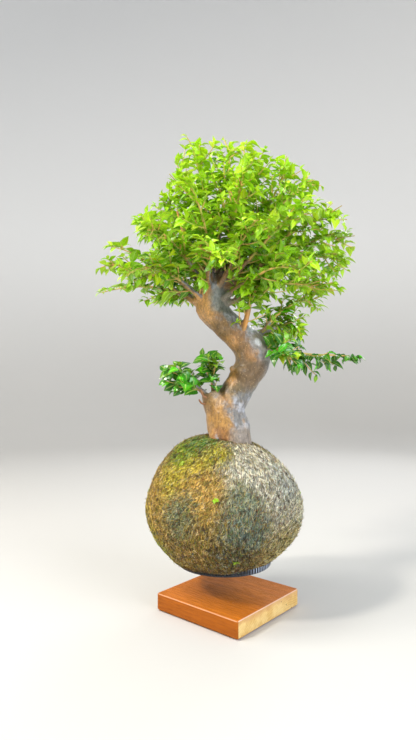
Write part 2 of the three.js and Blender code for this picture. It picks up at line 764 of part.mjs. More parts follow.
// The plant: tray, root ball, moss and tree, all carried together by the magnet
function plant() {
  const group = new THREE.Group();
  const tree = wood();
  const hole = TRUNK.slice(0, 5).map(([x, y, z, r]) => [x, y, z, r + CLEAR]);
  hole[0][2] -= CLEAR;
  const foot = limb(hole, TRUNK_SIDES, 2, FLUTE);
  const seat = solid(rod(TRAY_RADIUS + 1.5 * CLEAR, 0, TRAY_BOTTOM + TRAY_HEIGHT + CLEAR, HOVER_X, 0, 44));
  const under = (top) => solid(block(400, 400, -200, top));
  const core = ball(MOSS_DEPTH, 20, 10).subtract(under(TRAY_BOTTOM + TRAY_HEIGHT + CLEAR));
  const skin = ball(0, 34, 18)
    .subtract(under(MOSS_BOTTOM))
    .subtract(ball(MOSS_DEPTH - CLEAR, 20, 10).subtract(under(TRAY_BOTTOM + TRAY_HEIGHT)))
    .subtract(seat)
    .subtract(foot);
  const magnetTop = TRAY_BOTTOM + TRAY_HEIGHT - CLEAR;
  const magnetRadius = TRAY_RADIUS - 2.3 - 1.5 * CLEAR;
  group.add(
    piece("magnet_tray", magnetTray(), TRAY_BLACK),
    piece("disc_magnet", rod(magnetRadius, TRAY_BOTTOM + 1.5 + CLEAR, magnetTop, HOVER_X, 0, 32), MAGNET),
    piece("root_ball", core.subtract(foot), SOIL),
    piece("moss", skin, MOSS),
    piece("trunk", tree, BARK),
    ...shoots(tree),
  );
  return group;
}

const kokedama = new THREE.Group();
kokedama.add(levitationBase(), plant());

export default kokedama;
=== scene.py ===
"""The looks of a floating kokedama: a privet bonsai in a moss ball that hovers over its wooden base.

Metres, +Z up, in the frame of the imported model. Sizes that belong to the living parts are given in
millimetres and turned into metres where they are used.
"""
import functools
import logging
import math
import random
from collections.abc import Callable, Iterable, Sequence
from dataclasses import dataclass, field
from enum import Enum

import bmesh
import bpy
import numpy as np
from mathutils import Matrix, Vector, noise
from mathutils.bvhtree import BVHTree


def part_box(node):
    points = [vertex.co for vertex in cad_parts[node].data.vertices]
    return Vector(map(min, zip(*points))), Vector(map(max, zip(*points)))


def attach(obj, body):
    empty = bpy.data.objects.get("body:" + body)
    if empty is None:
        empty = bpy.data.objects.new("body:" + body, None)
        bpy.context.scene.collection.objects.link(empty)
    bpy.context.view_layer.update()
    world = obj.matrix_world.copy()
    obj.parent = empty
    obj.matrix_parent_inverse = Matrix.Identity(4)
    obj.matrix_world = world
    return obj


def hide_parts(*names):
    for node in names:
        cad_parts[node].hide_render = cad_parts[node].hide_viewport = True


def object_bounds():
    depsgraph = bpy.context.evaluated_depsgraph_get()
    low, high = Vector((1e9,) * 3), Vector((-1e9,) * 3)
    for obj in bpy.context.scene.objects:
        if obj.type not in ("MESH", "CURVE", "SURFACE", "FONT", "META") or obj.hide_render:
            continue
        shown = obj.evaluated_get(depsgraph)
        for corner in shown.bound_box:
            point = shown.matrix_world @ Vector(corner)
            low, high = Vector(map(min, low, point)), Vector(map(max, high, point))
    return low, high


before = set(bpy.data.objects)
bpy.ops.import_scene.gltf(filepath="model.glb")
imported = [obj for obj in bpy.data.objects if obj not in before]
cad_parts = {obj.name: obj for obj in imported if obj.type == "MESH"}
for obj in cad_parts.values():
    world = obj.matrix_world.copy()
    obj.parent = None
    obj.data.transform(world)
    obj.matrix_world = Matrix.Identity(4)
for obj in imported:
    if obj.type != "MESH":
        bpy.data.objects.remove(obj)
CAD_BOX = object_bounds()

LOG = logging.getLogger("kokedama")
MM = 0.001
UP = Vector((0, 0, 1))

EYE = Vector((-20.1, -555.9, 229.2))  # mm, the camera's place
AIM = Vector((0, 0, 0.24))  # m, the middle of the plant
BASE_TURN = math.radians(49.6)
BALL_CENTRE = Vector((-4.2, 0, 100))  # mm
BROWN_SHARE = 0.36  # of a branch's length that is brown wood
TWIG_RADIUS = 1.9  # mm, where the brown wood ends
LOW = 262  # mm, the height under which the low shoots are

Point = tuple[float, float, float]
Colour = tuple[float, float, float]  # as seen, in sRGB shares
Run = tuple[Sequence[Vector], Sequence[float]]  # a tube's points and its radius at each of them, in mm
Piece = bpy.types.Object

# The branches: girth at the root and points out to the tip, in mm, as the solids have them
BRANCHES = [
    # Left side, low to high
    (6, [
        (-24, 0, 298), (-36, 2, 306), (-47, 4, 312), (-59, 7, 317),
        (-80, 11, 321), (-108, 14, 320), (-137, 16, 314),
    ]),
    (2.8, [
        (-46, 3, 311), (-60, -4, 321), (-70, -8, 327),
        (-90, -14, 334), (-110, -17, 338), (-131, -18, 333),
    ]),
    (3.6, [(-34, 2, 304), (-46, 10, 322), (-62, 16, 336), (-84, 18, 349), (-104, 18, 359), (-127, 16, 365)]),
    (5, [(-22, 0, 322), (-34, -2, 340), (-44, -3, 352), (-60, -5, 365), (-76, -8, 377), (-93, -10, 385)]),
    (5, [(-20, 4, 324), (-30, 8, 346), (-38, 10, 364), (-49, 12, 385), (-58, 12, 402), (-68, 10, 417)]),
    # Crown
    (5, [(-18, 3, 326), (-24, 8, 354), (-29, 9, 380), (-37, 10, 406), (-46, 9, 430), (-55, 6, 453)]),
    (5, [(-15, -3, 326), (-18, -4, 358), (-21, -6, 388), (-25, -8, 414), (-28, -9, 440), (-29, -10, 466)]),
    (4.5, [(-11, -4, 328), (-9, -12, 358), (-7, -18, 384), (-4, -22, 408), (0, -24, 432), (3, -24, 455)]),
    (5, [(-9, 3, 328), (2, 10, 354), (11, 14, 380), (18, 17, 404), (25, 17, 430), (31, 15, 454)]),
    # Right side, high to low
    (5, [(-8, -2, 322), (12, -4, 348), (29, -4, 378), (42, -4, 402), (53, -4, 424), (63, -5, 445)]),
    (3.2, [(12, -4, 348), (34, -12, 374), (44, -16, 389), (60, -20, 404), (74, -22, 416), (90, -24, 419)]),
    (5.5, [
        (-6, 2, 320), (16, 6, 338), (38, 8, 356), (53, 8, 367),
        (74, 8, 380), (94, 6, 391), (117, 4, 393),
    ]),
    (3, [(16, 6, 338), (40, 18, 350), (56, 24, 357), (78, 28, 366), (101, 28, 375), (124, 25, 371)]),
    (5, [(-6, -4, 314), (16, -8, 326), (37, -12, 337), (62, -14, 345), (90, -13, 347), (122, -10, 341)]),
    (5, [(-8, -5, 298), (12, -14, 306), (27, -19, 312), (46, -22, 318), (69, -22, 318), (93, -20, 311)]),
    # From the knee
    (5, [(6, -6, 272), (16, -13, 284), (20, -17, 298), (27, -24, 314), (37, -31, 326), (50, -37, 334)]),
    (8, [(20, 0, 262), (34, 2, 274), (44, 4, 286), (55, 6, 296), (67, 7, 303), (79, 7, 306), (91, 6, 302)]),
    (3.6, [(34, 2, 274), (46, 12, 278), (53, 16, 281), (63, 19, 283), (72, 20, 280), (80, 20, 271)]),
    (6, [(28, 0, 256), (44, 4, 257), (59, 6, 255), (82, 8, 252), (110, 8, 251), (138, 7, 249)]),
    (5, [(28, -3, 254), (43, -9, 255), (50, -12, 253), (57, -15, 249), (64, -18, 243), (71, -20, 236)]),
    (5, [(26, 8, 262), (36, 23, 270), (43, 33, 275), (54, 47, 280), (65, 60, 280), (75, 72, 273)]),
    # Towards the viewer
    (5, [
        (-20, -6, 316), (-34, -22, 332), (-43, -34, 343),
        (-55, -51, 354), (-66, -68, 358), (-77, -84, 352),
    ]),
    (5, [
        (-16, -6, 324), (-20, -26, 350), (-23, -39, 368),
        (-29, -56, 385), (-36, -72, 395), (-44, -87, 394),
    ]),
    (5, [(-10, -6, 324), (-1, -24, 352), (4, -35, 376), (9, -48, 398), (13, -61, 413), (17, -75, 420)]),
    (5, [(-10, -6, 316), (2, -28, 336), (9, -43, 350), (17, -63, 361), (23, -83, 363), (28, -102, 355)]),
    (5, [(-6, -5, 318), (16, -22, 338), (30, -33, 352), (45, -46, 367), (59, -58, 377), (74, -69, 377)]),
    (5, [(-8, -6, 304), (12, -28, 316), (24, -40, 322), (38, -54, 327), (52, -67, 325), (65, -79, 315)]),
    (5, [
        (-22, -6, 302), (-40, -21, 316), (-52, -31, 324),
        (-68, -43, 329), (-83, -53, 327), (-97, -61, 317),
    ]),
    (4.5, [
        (-17, -7, 312), (-20, -28, 325), (-19, -42, 333),
        (-17, -61, 339), (-14, -80, 338), (-11, -98, 328),
    ]),
    # Away from the viewer
    (5, [(-18, 6, 314), (-34, 24, 332), (-44, 36, 344), (-58, 53, 356), (-71, 69, 361), (-83, 84, 355)]),
    (5, [(-15, 6, 322), (-20, 28, 352), (-25, 41, 372), (-33, 57, 391), (-42, 72, 403), (-52, 86, 403)]),
    (5, [(-10, 6, 324), (0, 28, 356), (5, 40, 378), (11, 53, 402), (16, 66, 420), (21, 79, 430)]),
    (5, [(-6, 6, 318), (18, 26, 344), (34, 38, 362), (49, 50, 382), (64, 61, 396), (80, 71, 400)]),
    (5, [(-8, 6, 308), (16, 30, 322), (32, 43, 332), (50, 57, 341), (69, 69, 343), (87, 80, 335)]),
    (5, [(-14, 7, 312), (-8, 34, 330), (-4, 49, 341), (1, 69, 351), (5, 89, 352), (9, 107, 342)]),
    (5, [(-22, 6, 304), (-38, 28, 314), (-46, 42, 318), (-57, 58, 321), (-67, 73, 318), (-76, 86, 309)]),
    # On the cut stub beside the trunk
    (3.4, [(-18, -3, 208), (-25, -5, 214), (-30, -6, 218), (-41, -8, 226), (-53, -9, 233), (-67, -10, 234)]),
    (3, [(-14, 1, 210), (-15, 0, 219), (-15.5, 0, 224), (-17, -1, 233), (-15, -3, 242), (-12, -4, 250)]),
]

# Stations from the foot up, each a point and a radius, in mm, as the solids have them
TRUNK = [
    ((3, 0, 138), 18),
    ((3.5, 0, 163), 19.6),
    ((-1, 0, 181), 20),
    ((-2, 0, 195), 19),
    ((5, 0, 209), 15.5),
    ((12, 0, 221), 14.6),
    ((19, 0, 233), 15.4),
    ((24.5, 0, 246), 17.6),
    ((20, 0, 260), 16.4),
    ((8, 0, 272), 14.8),
    ((-5, 0, 284.5), 14.2),
    ((-16.5, 0, 298), 15.8),
    ((-17.2, 0, 310), 14.6),
    ((-15.2, 0, 322), 12.6),
    ((-14.4, 0, 331), 11),
]
STUBS = [
    [((-3, 0, 186), 15), ((-12, -1, 201), 12.6), ((-17.5, -1, 213.5), 9.6)],
    [((-20, -3, 320), 6.5), ((-23, -4, 331), 5), ((-24, -5, 341), 3.6)],
    [((-10, 1, 322), 8), ((-8, 2, 333), 7), ((-5, 3, 344), 5.4)],
    [((12, -6, 196), 4), ((14, -7, 184), 6.5), ((15.5, -7, 166), 7), ((17, -6, 146), 7)],
    [((-10, -9, 184), 6), ((-13, -11, 166), 7), ((-15, -11, 148), 7)],
    [((8, 10, 190), 6), ((12, 13, 166), 7.5), ((14, 14, 146), 7)],
]
KNOBS = [
    ((13, -12, 234), 4.5),
    ((4, -5, 237), 2.6),
    ((-9, -11, 291), 4.5),
    ((-6, -12, 292), 3.2),
    ((-30, -4, 305), 5),
    ((12, 12, 190), 5),
    ((22, 13, 250), 5),
]

# Twigs that were cut back: radius at the root and points from root to cut, in mm
CUT_TWIGS = [
    (2.7, [(11, -9, 268), (15, -13, 276), (18.5, -15, 292), (23.5, -18, 316), (31, -21, 338)]),
    (1.6, [(1, -11, 325), (9, -15, 334), (17.5, -19, 342)]),
    (1.4, [(-28, -15, 326), (-27, -26, 341), (-26.7, -30, 360)]),
    (1.5, [(-20, -26, 350), (-29, -31, 351), (-41.5, -34, 357), (-44.5, -35, 368), (-49, -36, 384)]),
    (1.2, [(-34, -21, 331), (-34.5, -25, 338), (-36.5, -27, 347)]),
    (1.3, [(-19, -8, 208), (-25, -10, 211), (-27, -11, 217)]),
    (1.3, [(-19, -6, 203), (-26, -8, 203), (-29, -9, 207)]),
]


class Body(str, Enum):
    """The bodies that pieces ride on."""

    BASE = "base"
    PLANT = "plant"


class Element(str, Enum):
    """What an edit-mode selection picks."""

    VERT = "VERT"
    EDGE = "EDGE"
    FACE = "FACE"


def linear(red: float, green: float, blue: float) -> tuple[float, float, float, float]:
    """Turns a colour as seen, in sRGB shares, into the linear values that shaders take.

    Args:
        red, green, blue: Shares from 0 to 1.

    Returns:
        The linear colour with full alpha.
    """
    def straight(share: float) -> float:
        """Straightens one channel."""
        return share / 12.92 if share <= 0.04045 else ((share + 0.055) / 1.055) ** 2.4

    return straight(red), straight(green), straight(blue), 1.0


def clamped(value: float, low: float = 0, high: float = 1) -> float:
    """Keeps a value between two others."""
    return min(high, max(low, value))


def even(count: int) -> list[float]:
    """Gives shares from 0 to 1 in a number of even steps."""
    return [i / count for i in range(count + 1)]


def square(way: Vector, to: Vector) -> Vector:
    """Turns a way square to a unit one."""
    return (way - to * way.dot(to)).normalized()


def stood(place: Vector, axes: Sequence[Vector], scale: float = 1.0) -> Matrix:
    """Gives the matrix that stands a shape at a place.

    Args:
        place: Where the shape's origin goes.
        axes: What its own axes become.
        scale: Its size.

    Returns:
        The matrix.
    """
    matrix = (Matrix(axes).transposed() * scale).to_4x4()
    matrix.translation = place
    return matrix


def column(items: bpy.types.bpy_prop_collection, key: str, width: int = 1, kind: type = float) -> np.ndarray:
    """Reads one property of all parts of a mesh.

    Args:
        items: The mesh's vertices, loops or faces, or another of its lists.
        key: The property.
        width: How many numbers it has.
        kind: Their type.

    Returns:
        One row for each part.
    """
    values = np.empty(len(items) * width, dtype=kind)
    items.foreach_get(key, values)
    return values.reshape(-1, width) if width > 1 else values


def linked(name: str, data: bpy.types.ID) -> Piece:
    """Puts data into the scene.

    Args:
        name: The object's name.
        data: Its mesh, curve, camera or light.

    Returns:
        The new object.
    """
    made = bpy.data.objects.new(name, data)
    bpy.context.collection.objects.link(made)
    return made


def primitive(add: Callable[..., set[str]], **sizes: object) -> Piece:
    """Adds a primitive with everything else deselected.

    Args:
        add: Blender's operator.
        sizes: The primitive's own values.

    Returns:
        The new object.
    """
    bpy.ops.object.select_all(action="DESELECT")
    add(**sizes)
    return bpy.context.active_object


def focus(piece: Piece) -> None:
    """Makes a piece the active one and the only one selected.

    Args:
        piece: The piece.
    """
    bpy.ops.object.select_all(action="DESELECT")
    piece.select_set(True)
    bpy.context.view_layer.objects.active = piece


def edit(piece: Piece, steps: Callable[[], object]) -> None:
    """Runs steps on a piece in edit mode, with nothing selected at first.

    Args:
        piece: The piece.
        steps: What is done to it.
    """
    focus(piece)
    bpy.ops.object.mode_set(mode="EDIT")
    bpy.ops.mesh.select_all(action="DESELECT")
    steps()
    bpy.ops.object.mode_set(mode="OBJECT")


def pick(element: Element, test: Callable[[Vector, Vector], bool]) -> None:
    """Selects, in edit mode, the elements of the active piece that pass a test.

    Args:
        element: What to pick.
        test: Takes an element's place and its normal (zero for an edge).
    """
    bpy.ops.mesh.select_mode(type=element.value)
    bpy.ops.mesh.select_all(action="DESELECT")
    mesh = bmesh.from_edit_mesh(bpy.context.active_object.data)
    for item in {Element.VERT: mesh.verts, Element.EDGE: mesh.edges, Element.FACE: mesh.faces}[element]:
        if element is Element.VERT:
            place, normal = item.co, item.normal
        elif element is Element.EDGE:
            place, normal = (item.verts[0].co + item.verts[1].co) / 2, Vector()
        else:
            place, normal = item.calc_center_median(), item.normal
        item.select_set(test(place, normal))
    bmesh.update_edit_mesh(bpy.context.active_object.data)


def weld(gap: float) -> None:
    """Merges, in edit mode, all vertices that lie closer together than a gap."""
    bpy.ops.mesh.select_all(action="SELECT")
    bpy.ops.mesh.remove_doubles(threshold=gap)


def smooth(piece: Piece, degrees: float) -> None:
    """Shades a piece smooth, but for its edges that are sharper than an angle."""
    focus(piece)
    bpy.ops.object.shade_smooth_by_angle(angle=math.radians(degrees))


def modify(piece: Piece, kind: str, **settings: object) -> None:
    """Adds a modifier to a piece and applies it.

    Args:
        piece: The piece to change.
        kind: Blender's type of the modifier.
        settings: The modifier's own values.
    """
    focus(piece)
    modifier = piece.modifiers.new(kind.title(), kind)
    for name, value in settings.items():
        setattr(modifier, name, value)
    bpy.ops.object.modifier_apply(modifier=modifier.name)


def roughen(piece: Piece, name: str, layers: Sequence[tuple[float, float]]) -> None:
    """Raises and sinks a surface by layers of cloud, and shades it smooth all over.

    Args:
        piece: The piece to change.
        name: What its textures are called.
        layers: Each layer's size and depth in mm.
    """
    for number, (size, depth) in enumerate(layers):
        clouds = bpy.data.textures.new(f"{name} relief {number}", "CLOUDS")
        clouds.noise_scale = size * MM
        clouds.noise_depth = 2
        modify(piece, "DISPLACE", texture=clouds, strength=depth * MM, mid_level=0.5, texture_coords="LOCAL")
    focus(piece)
    bpy.ops.object.shade_smooth()


def merged_copy(node: str) -> Piece:
    """Copies a solid of the model and closes its loose triangles into one mesh.

    Args:
        node: The solid's name.

    Returns:
        The copy.
    """
    piece = linked(f"{node}_copy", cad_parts[node].data.copy())
    piece.data.materials.clear()
    edit(piece, lambda: weld(1e-5))
    return piece


def joined(pieces: Sequence[Piece]) -> Piece:
    """Joins pieces into the first of them.

    Args:
        pieces: The pieces.

    Returns:
        The first, with all the others in it.
    """
    focus(pieces[0])
    for piece in pieces[1:]:
        piece.select_set(True)
    bpy.ops.object.join()
    return pieces[0]


def tube(name: str, runs: Sequence[Run], sides: int) -> Piece:
    """Makes closed round tubes of changing radius.

    Args:
        name: The piece's name.
        runs: The tubes' courses.
        sides: Blender's bevel resolution of the round section.

    Returns:
        One mesh object with all runs.
    """
    curve = bpy.data.curves.new(name, "CURVE")
    curve.dimensions = "3D"
    curve.bevel_depth = MM
    curve.bevel_resolution = sides
    curve.use_fill_caps = True
    for points, radii in runs:
        spline = curve.splines.new("POLY")
        spline.points.add(len(points) - 1)
        for knot, point, radius in zip(spline.points, points, radii):
            knot.co = (*(Vector(point) * MM), 1)
            knot.radius = radius
    focus(linked(name, curve))
    bpy.ops.object.convert(target="MESH")
    piece = bpy.context.active_object
    edit(piece, lambda: (weld(1e-6), bpy.ops.mesh.normals_make_consistent(inside=False)))
    return piece


@dataclass
class Placing:
    """Where one copy of a repeated shape goes, and its own tone.

    Attributes:
        matrix: From the shape's own frame to the object's, in metres.
        tone: Three shares that the material reads: a leaf's age and two random ones, or a fibre's light,
            its shade and a random one.
    """

    matrix: Matrix
    tone: tuple[float, float, float]


def scattered(name: str, master: Piece, placings: Sequence[Placing]) -> Piece:
    """Copies a shape to many places as one mesh, with its UV map and a colour attribute called tone.

    Args:
        name: The new object's name.
        master: The shape to repeat.
        placings: Where the copies go.

    Returns:
        The mesh object that holds all the copies.
    """
    data = master.data
    count, size = len(placings), len(data.vertices)
    corners = np.c_[column(data.vertices, "co", 3), np.ones(size)]
    matrices = np.array([placing.matrix for placing in placings])
    places = np.einsum("nij,vj->nvi", matrices, corners)[:, :, :3]
    loops = column(data.loops, "vertex_index", kind=int)
    starts = column(data.polygons, "loop_start", kind=int)
    step = np.arange(count)[:, None]
    mesh = bpy.data.meshes.new(name)
    mesh.vertices.add(count * size)
    mesh.vertices.foreach_set("co", places.ravel())
    mesh.loops.add(count * len(loops))
    mesh.loops.foreach_set("vertex_index", (loops + step * size).ravel())
    mesh.polygons.add(count * len(starts))
    mesh.polygons.foreach_set("loop_start", (starts + step * len(loops)).ravel())
    if data.uv_layers:
        flat = column(data.uv_layers[0].data, "uv", 2).ravel()
        mesh.uv_layers.new(name="UVMap").data.foreach_set("uv", np.tile(flat, count))
    tones = np.array([(*placing.tone, 1.0) for placing in placings])
    attribute = mesh.attributes.new("tone", "FLOAT_COLOR", "POINT")
    attribute.data.foreach_set("color", np.repeat(tones, size, axis=0).ravel())
    mesh.update(calc_edges=True)
    mesh.polygons.foreach_set("use_smooth", np.ones(count * len(starts), dtype=bool))
    return linked(name, mesh)


@dataclass(frozen=True)
class Patch:
    """A patch of one colour on something: its centre and radius in mm and its colour."""

    centre: Point
    radius: float
    colour: Colour


Socket = bpy.types.NodeSocket
Value = Socket | float | Sequence[float]
Surface = dict[str, Value]  # the shader's inputs by name
Group = Callable[[], bpy.types.NodeTree]


class Shader:
    """Builds a node tree, one node at a time."""

    MEASURES = ("DISTANCE", "DOT_PRODUCT", "LENGTH")  # vector operations that give a number

    def __init__(self, tree: bpy.types.NodeTree) -> None:
        """Starts on a tree."""
        self.tree = tree

    def node(
        self, kind: str, inputs: dict[str | int, Value] | None = None, **settings: object,
    ) -> bpy.types.Node:
        """Adds a node.

        Args:
            kind: The node's type without its ShaderNode prefix.
            inputs: Values or sockets for its inputs, by name or number.
            settings: The node's own settings.

        Returns:
            The new node.
        """
        made = self.tree.nodes.new(f"ShaderNode{kind}")
        for name, value in settings.items():
            setattr(made, name, value)
        for name, value in (inputs or {}).items():
            self.feed(made.inputs[name], value)
        return made

    def feed(self, socket: Socket, value: Value) -> None:
        """Links a socket, or sets its value.

        Args:
            socket: The input.
            value: What it gets.
        """
        if isinstance(value, Socket):
            self.tree.links.new(value, socket)
        else:
            socket.default_value = value

    def place(self, turn: float = 0.0) -> Socket:
        """Gives the place on the object in millimetres.

        Args:
            turn: How far it is turned about Z.

        Returns:
            The place.
        """
        inputs = {"Vector": self.coordinates("Object"), "Rotation": (0, 0, turn), "Scale": (1 / MM,) * 3}
        return self.node("Mapping", inputs).outputs["Vector"]

    def coordinates(self, kind: str) -> Socket:
        """Gives the object's own coordinates, normal or UV map."""
        return self.node("TexCoord").outputs[kind]

    def tone(self) -> bpy.types.bpy_prop_collection:
        """Gives the shares that a placing left on its copy, as Red, Green and Blue."""
        tone = self.node("Attribute", attribute_name="tone").outputs["Color"]
        return self.node("SeparateColor", {"Color": tone}).outputs

    def part(self, vector: Value, axis: str) -> Socket:
        """Gives one coordinate of a vector."""
        return self.node("SeparateXYZ", {"Vector": vector}).outputs[axis]

    def noise(self, vector: Value, scale: Value, detail: float = 3, roughness: float = 0.55) -> Socket:
        """Gives smooth noise from 0 to 1."""
        inputs = {"Vector": vector, "Scale": scale, "Detail": detail, "Roughness": roughness}
        return self.node("TexNoise", inputs).outputs["Fac"]

    def math(self, operation: str, *values: Value) -> Socket:
        """Works on numbers."""
        return self.node("Math", dict(enumerate(values)), operation=operation).outputs[0]

    def vector(self, operation: str, *values: Value) -> Socket:
        """Works on vectors."""
        made = self.node("VectorMath", dict(enumerate(values)), operation=operation)
        return made.outputs["Value" if operation in self.MEASURES else "Vector"]

    def scaled(self, vector: Value, factor: Value) -> Socket:
        """Multiplies a vector or colour by a number."""
        return self.node("VectorMath", {0: vector, "Scale": factor}, operation="SCALE").outputs["Vector"]

    def span(self, value: Value, low: Value, high: Value, bottom: Value = 0.0, top: Value = 1.0) -> Socket:
        """Maps a value from low..high to bottom..top, smoothly and clamped."""
        inputs = {"Value": value, "From Min": low, "From Max": high, "To Min": bottom, "To Max": top}
        return self.node("MapRange", inputs, interpolation_type="SMOOTHSTEP").outputs["Result"]

    def mix(self, share: Value, first: Value, second: Value) -> Socket:
        """Mixes two colours.

        Args:
            share: How much of the second shows.
            first, second: The colours.

        Returns:
            The mixed colour.
        """
        made = self.node("Mix", data_type="RGBA", clamp_factor=True)
        sockets = [socket for socket in made.inputs if socket.type == "RGBA"]
        for socket, value in zip((made.inputs[0], *sockets), (share, first, second)):
            self.feed(socket, value)
        return next(socket for socket in made.outputs if socket.type == "RGBA")

    def tint(
        self, under: Value, mask: Value, colour: Sequence[float], amount: float | None = None,
    ) -> Socket:
        """Lays a colour over another where a mask lets it."""
        share = mask if amount is None else self.math("MULTIPLY", mask, amount)
        return self.mix(share, under, linear(*colour))

    def ramp(self, share: Value, stops: Sequence[tuple[float, Sequence[float]]]) -> Socket:
        """Gives a colour along a ramp.

        Args:
            share: The place on the ramp.
            stops: Positions, from low to high, and their linear colours.

        Returns:
            The colour.
        """
        made = self.node("ValToRGB", {"Fac": share})
        elements = made.color_ramp.elements
        for position, _ in stops[2:]:
            elements.new(position)
        for element, (position, colour) in zip(elements, stops):
            element.position = position
            element.color = colour
        return made.outputs["Color"]

    def group(self, shared: Group, vector: Value, **values: Value) -> Socket:
        """Places a shared effect with values of its own.

        Args:
            shared: Gives the effect's group.
            vector: The place that it reads.
            values: Its other inputs, in lower case.

        Returns:
            What it puts out.
        """
        inputs = {"Vector": vector} | {name.title(): value for name, value in values.items()}
        return self.node("Group", inputs, node_tree=shared()).outputs[0]

    def patched(
        self,
        colour: Value,
        vector: Value,
        patches: Iterable[Patch],
        amount: float | None = None,
        **values: Value,
    ) -> Socket:
        """Lays patches over a colour, one after the other.

        Args:
            colour: What is under them.
            vector: The place.
            patches: The patches, in their order.
            amount: How strong they are.
            values: More inputs of the patch effect.

        Returns:
            The colour with its patches.
        """
        for spot in patches:
            mask = self.group(patch, vector, centre=spot.centre, radius=spot.radius, **values)
            colour = self.tint(colour, mask, spot.colour, amount)
        return colour

    def bump(self, height: Value, depth: float) -> Socket:
        """Turns a height into a normal; depth is the relief in mm."""
        inputs = {"Height": height, "Distance": depth * MM, "Strength": 1.0}
        return self.node("Bump", inputs).outputs["Normal"]


def effect(
    name: str, gives: str = "Mask", **inputs: float | Point,
) -> Callable[[Callable[..., Socket]], Group]:
    """Marks a function that fills a shared shader group, which is built once.

    Args:
        name: The group's name.
        gives: Its output, which is a mask or a colour.
        inputs: Its inputs besides the place, in lower case, with their defaults.

    Returns:
        A decorator: the function takes the shader and the input sockets by name and returns the output.
    """
    def wrap(fill: Callable[..., Socket]) -> Group:
        """Makes the group's builder out of the function that fills it.

        Args:
            fill: The function.

        Returns:
            The builder.
        """
        @functools.cache
        def build() -> bpy.types.NodeTree:
            """Builds the group at its first use.

            Returns:
                The group.
            """
            tree = bpy.data.node_groups.new(name, "ShaderNodeTree")
            given = {"vector": (0, 0, 0)} | inputs
            for label, default in given.items():
                kind = "NodeSocketVector" if isinstance(default, tuple) else "NodeSocketFloat"
                socket = tree.interface.new_socket(label.title(), in_out="INPUT", socket_type=kind)
                socket.default_value = default
            kind = "NodeSocketFloat" if gives == "Mask" else "NodeSocketColor"
            tree.interface.new_socket(gives, in_out="OUTPUT", socket_type=kind)
            shader = Shader(tree)
            entry = tree.nodes.new("NodeGroupInput")
            leave = tree.nodes.new("NodeGroupOutput")
            sockets = {label: entry.outputs[label.title()] for label in given}
            shader.feed(leave.inputs[gives], fill(shader, **sockets))
            return tree
        return build
    return wrap


@effect("Mottle", scale=1.0, softness=0.1)
def mottle(shader: Shader, vector: Socket, scale: Socket, softness: Socket) -> Socket:
    """Makes uneven patches.

    Args:
        shader: Builds the group.
        vector: The place in mm.
        scale: Of the patches, in 1/mm.
        softness: Of their edges.

    Returns:
        The mask.
    """
    cloud = shader.noise(vector, scale, 4, 0.6)
    return shader.span(cloud, shader.math("SUBTRACT", 0.5, softness), shader.math("ADD", 0.5, softness))


@effect("Streaks", stretch=(1, 1, 1), amount=0.5)
def streaks(shader: Shader, vector: Socket, stretch: Socket, amount: Socket) -> Socket:
    """Makes fine marks that are drawn out along an axis.

    Args:
        shader: Builds the group.
        vector: The place in mm.
        stretch: The marks per mm along each axis.
        amount: How many there are, from 0 to 1.

    Returns:
        The mask.
    """
    cloud = shader.noise(shader.vector("MULTIPLY", vector, stretch), 1.0, 3, 0.6)
    edge = shader.math("SUBTRACT", 0.75, shader.math("MULTIPLY", amount, 0.4))
    return shader.span(cloud, edge, shader.math("ADD", edge, 0.12))


@effect("Patch", centre=(0, 0, 0), radius=20.0, jitter=0.0)
def patch(shader: Shader, vector: Socket, centre: Socket, radius: Socket, jitter: Socket) -> Socket:
    """Makes a soft ragged patch.

    Args:
        shader: Builds the group.
        vector: The place in mm.
        centre, radius: The patch's, in mm.
        jitter: Moves its edge.

    Returns:
        The mask.
    """
    distance = shader.vector("DISTANCE", vector, centre)
    ragged = shader.math("MULTIPLY_ADD", shader.noise(vector, 0.06, 6, 0.7), 1.1, -0.55)
    share = shader.math("SUBTRACT", shader.math("DIVIDE", distance, radius), ragged)
    return shader.span(shader.math("ADD", share, jitter), 1.3, 0.65)


@effect("Specks", scale=1.0, size=0.2)
def specks(shader: Shader, vector: Socket, scale: Socket, size: Socket) -> Socket:
    """Makes small round dots, spread at random.

    Args:
        shader: Builds the group.
        vector: The place in mm.
        scale: Of the dots, in 1/mm.
        size: Their radius as a share of their room.

    Returns:
        The mask.
    """
    cells = shader.node("TexVoronoi", {"Vector": vector, "Scale": scale})
    return shader.span(cells.outputs["Distance"], size, shader.math("MULTIPLY", size, 0.6))


@dataclass(frozen=True)
class Finish:
    """A finish, whose name its material has."""

    name: str

    def nodes(self, shader: Shader) -> Surface:
        """Adds the nodes to the material's tree and gives the surface's inputs."""
        raise NotImplementedError

    @functools.cache
    def material(self) -> bpy.types.Material:
        """Makes the material with one Principled shader, once.

        Returns:
            The material.
        """
        made = bpy.data.materials.new(self.name)
        made.use_nodes = True
        made.node_tree.nodes.clear()
        shader = Shader(made.node_tree)
        surface = shader.node("BsdfPrincipled", self.nodes(shader))
        shader.node("OutputMaterial", {"Surface": surface.outputs["BSDF"]})
        return made


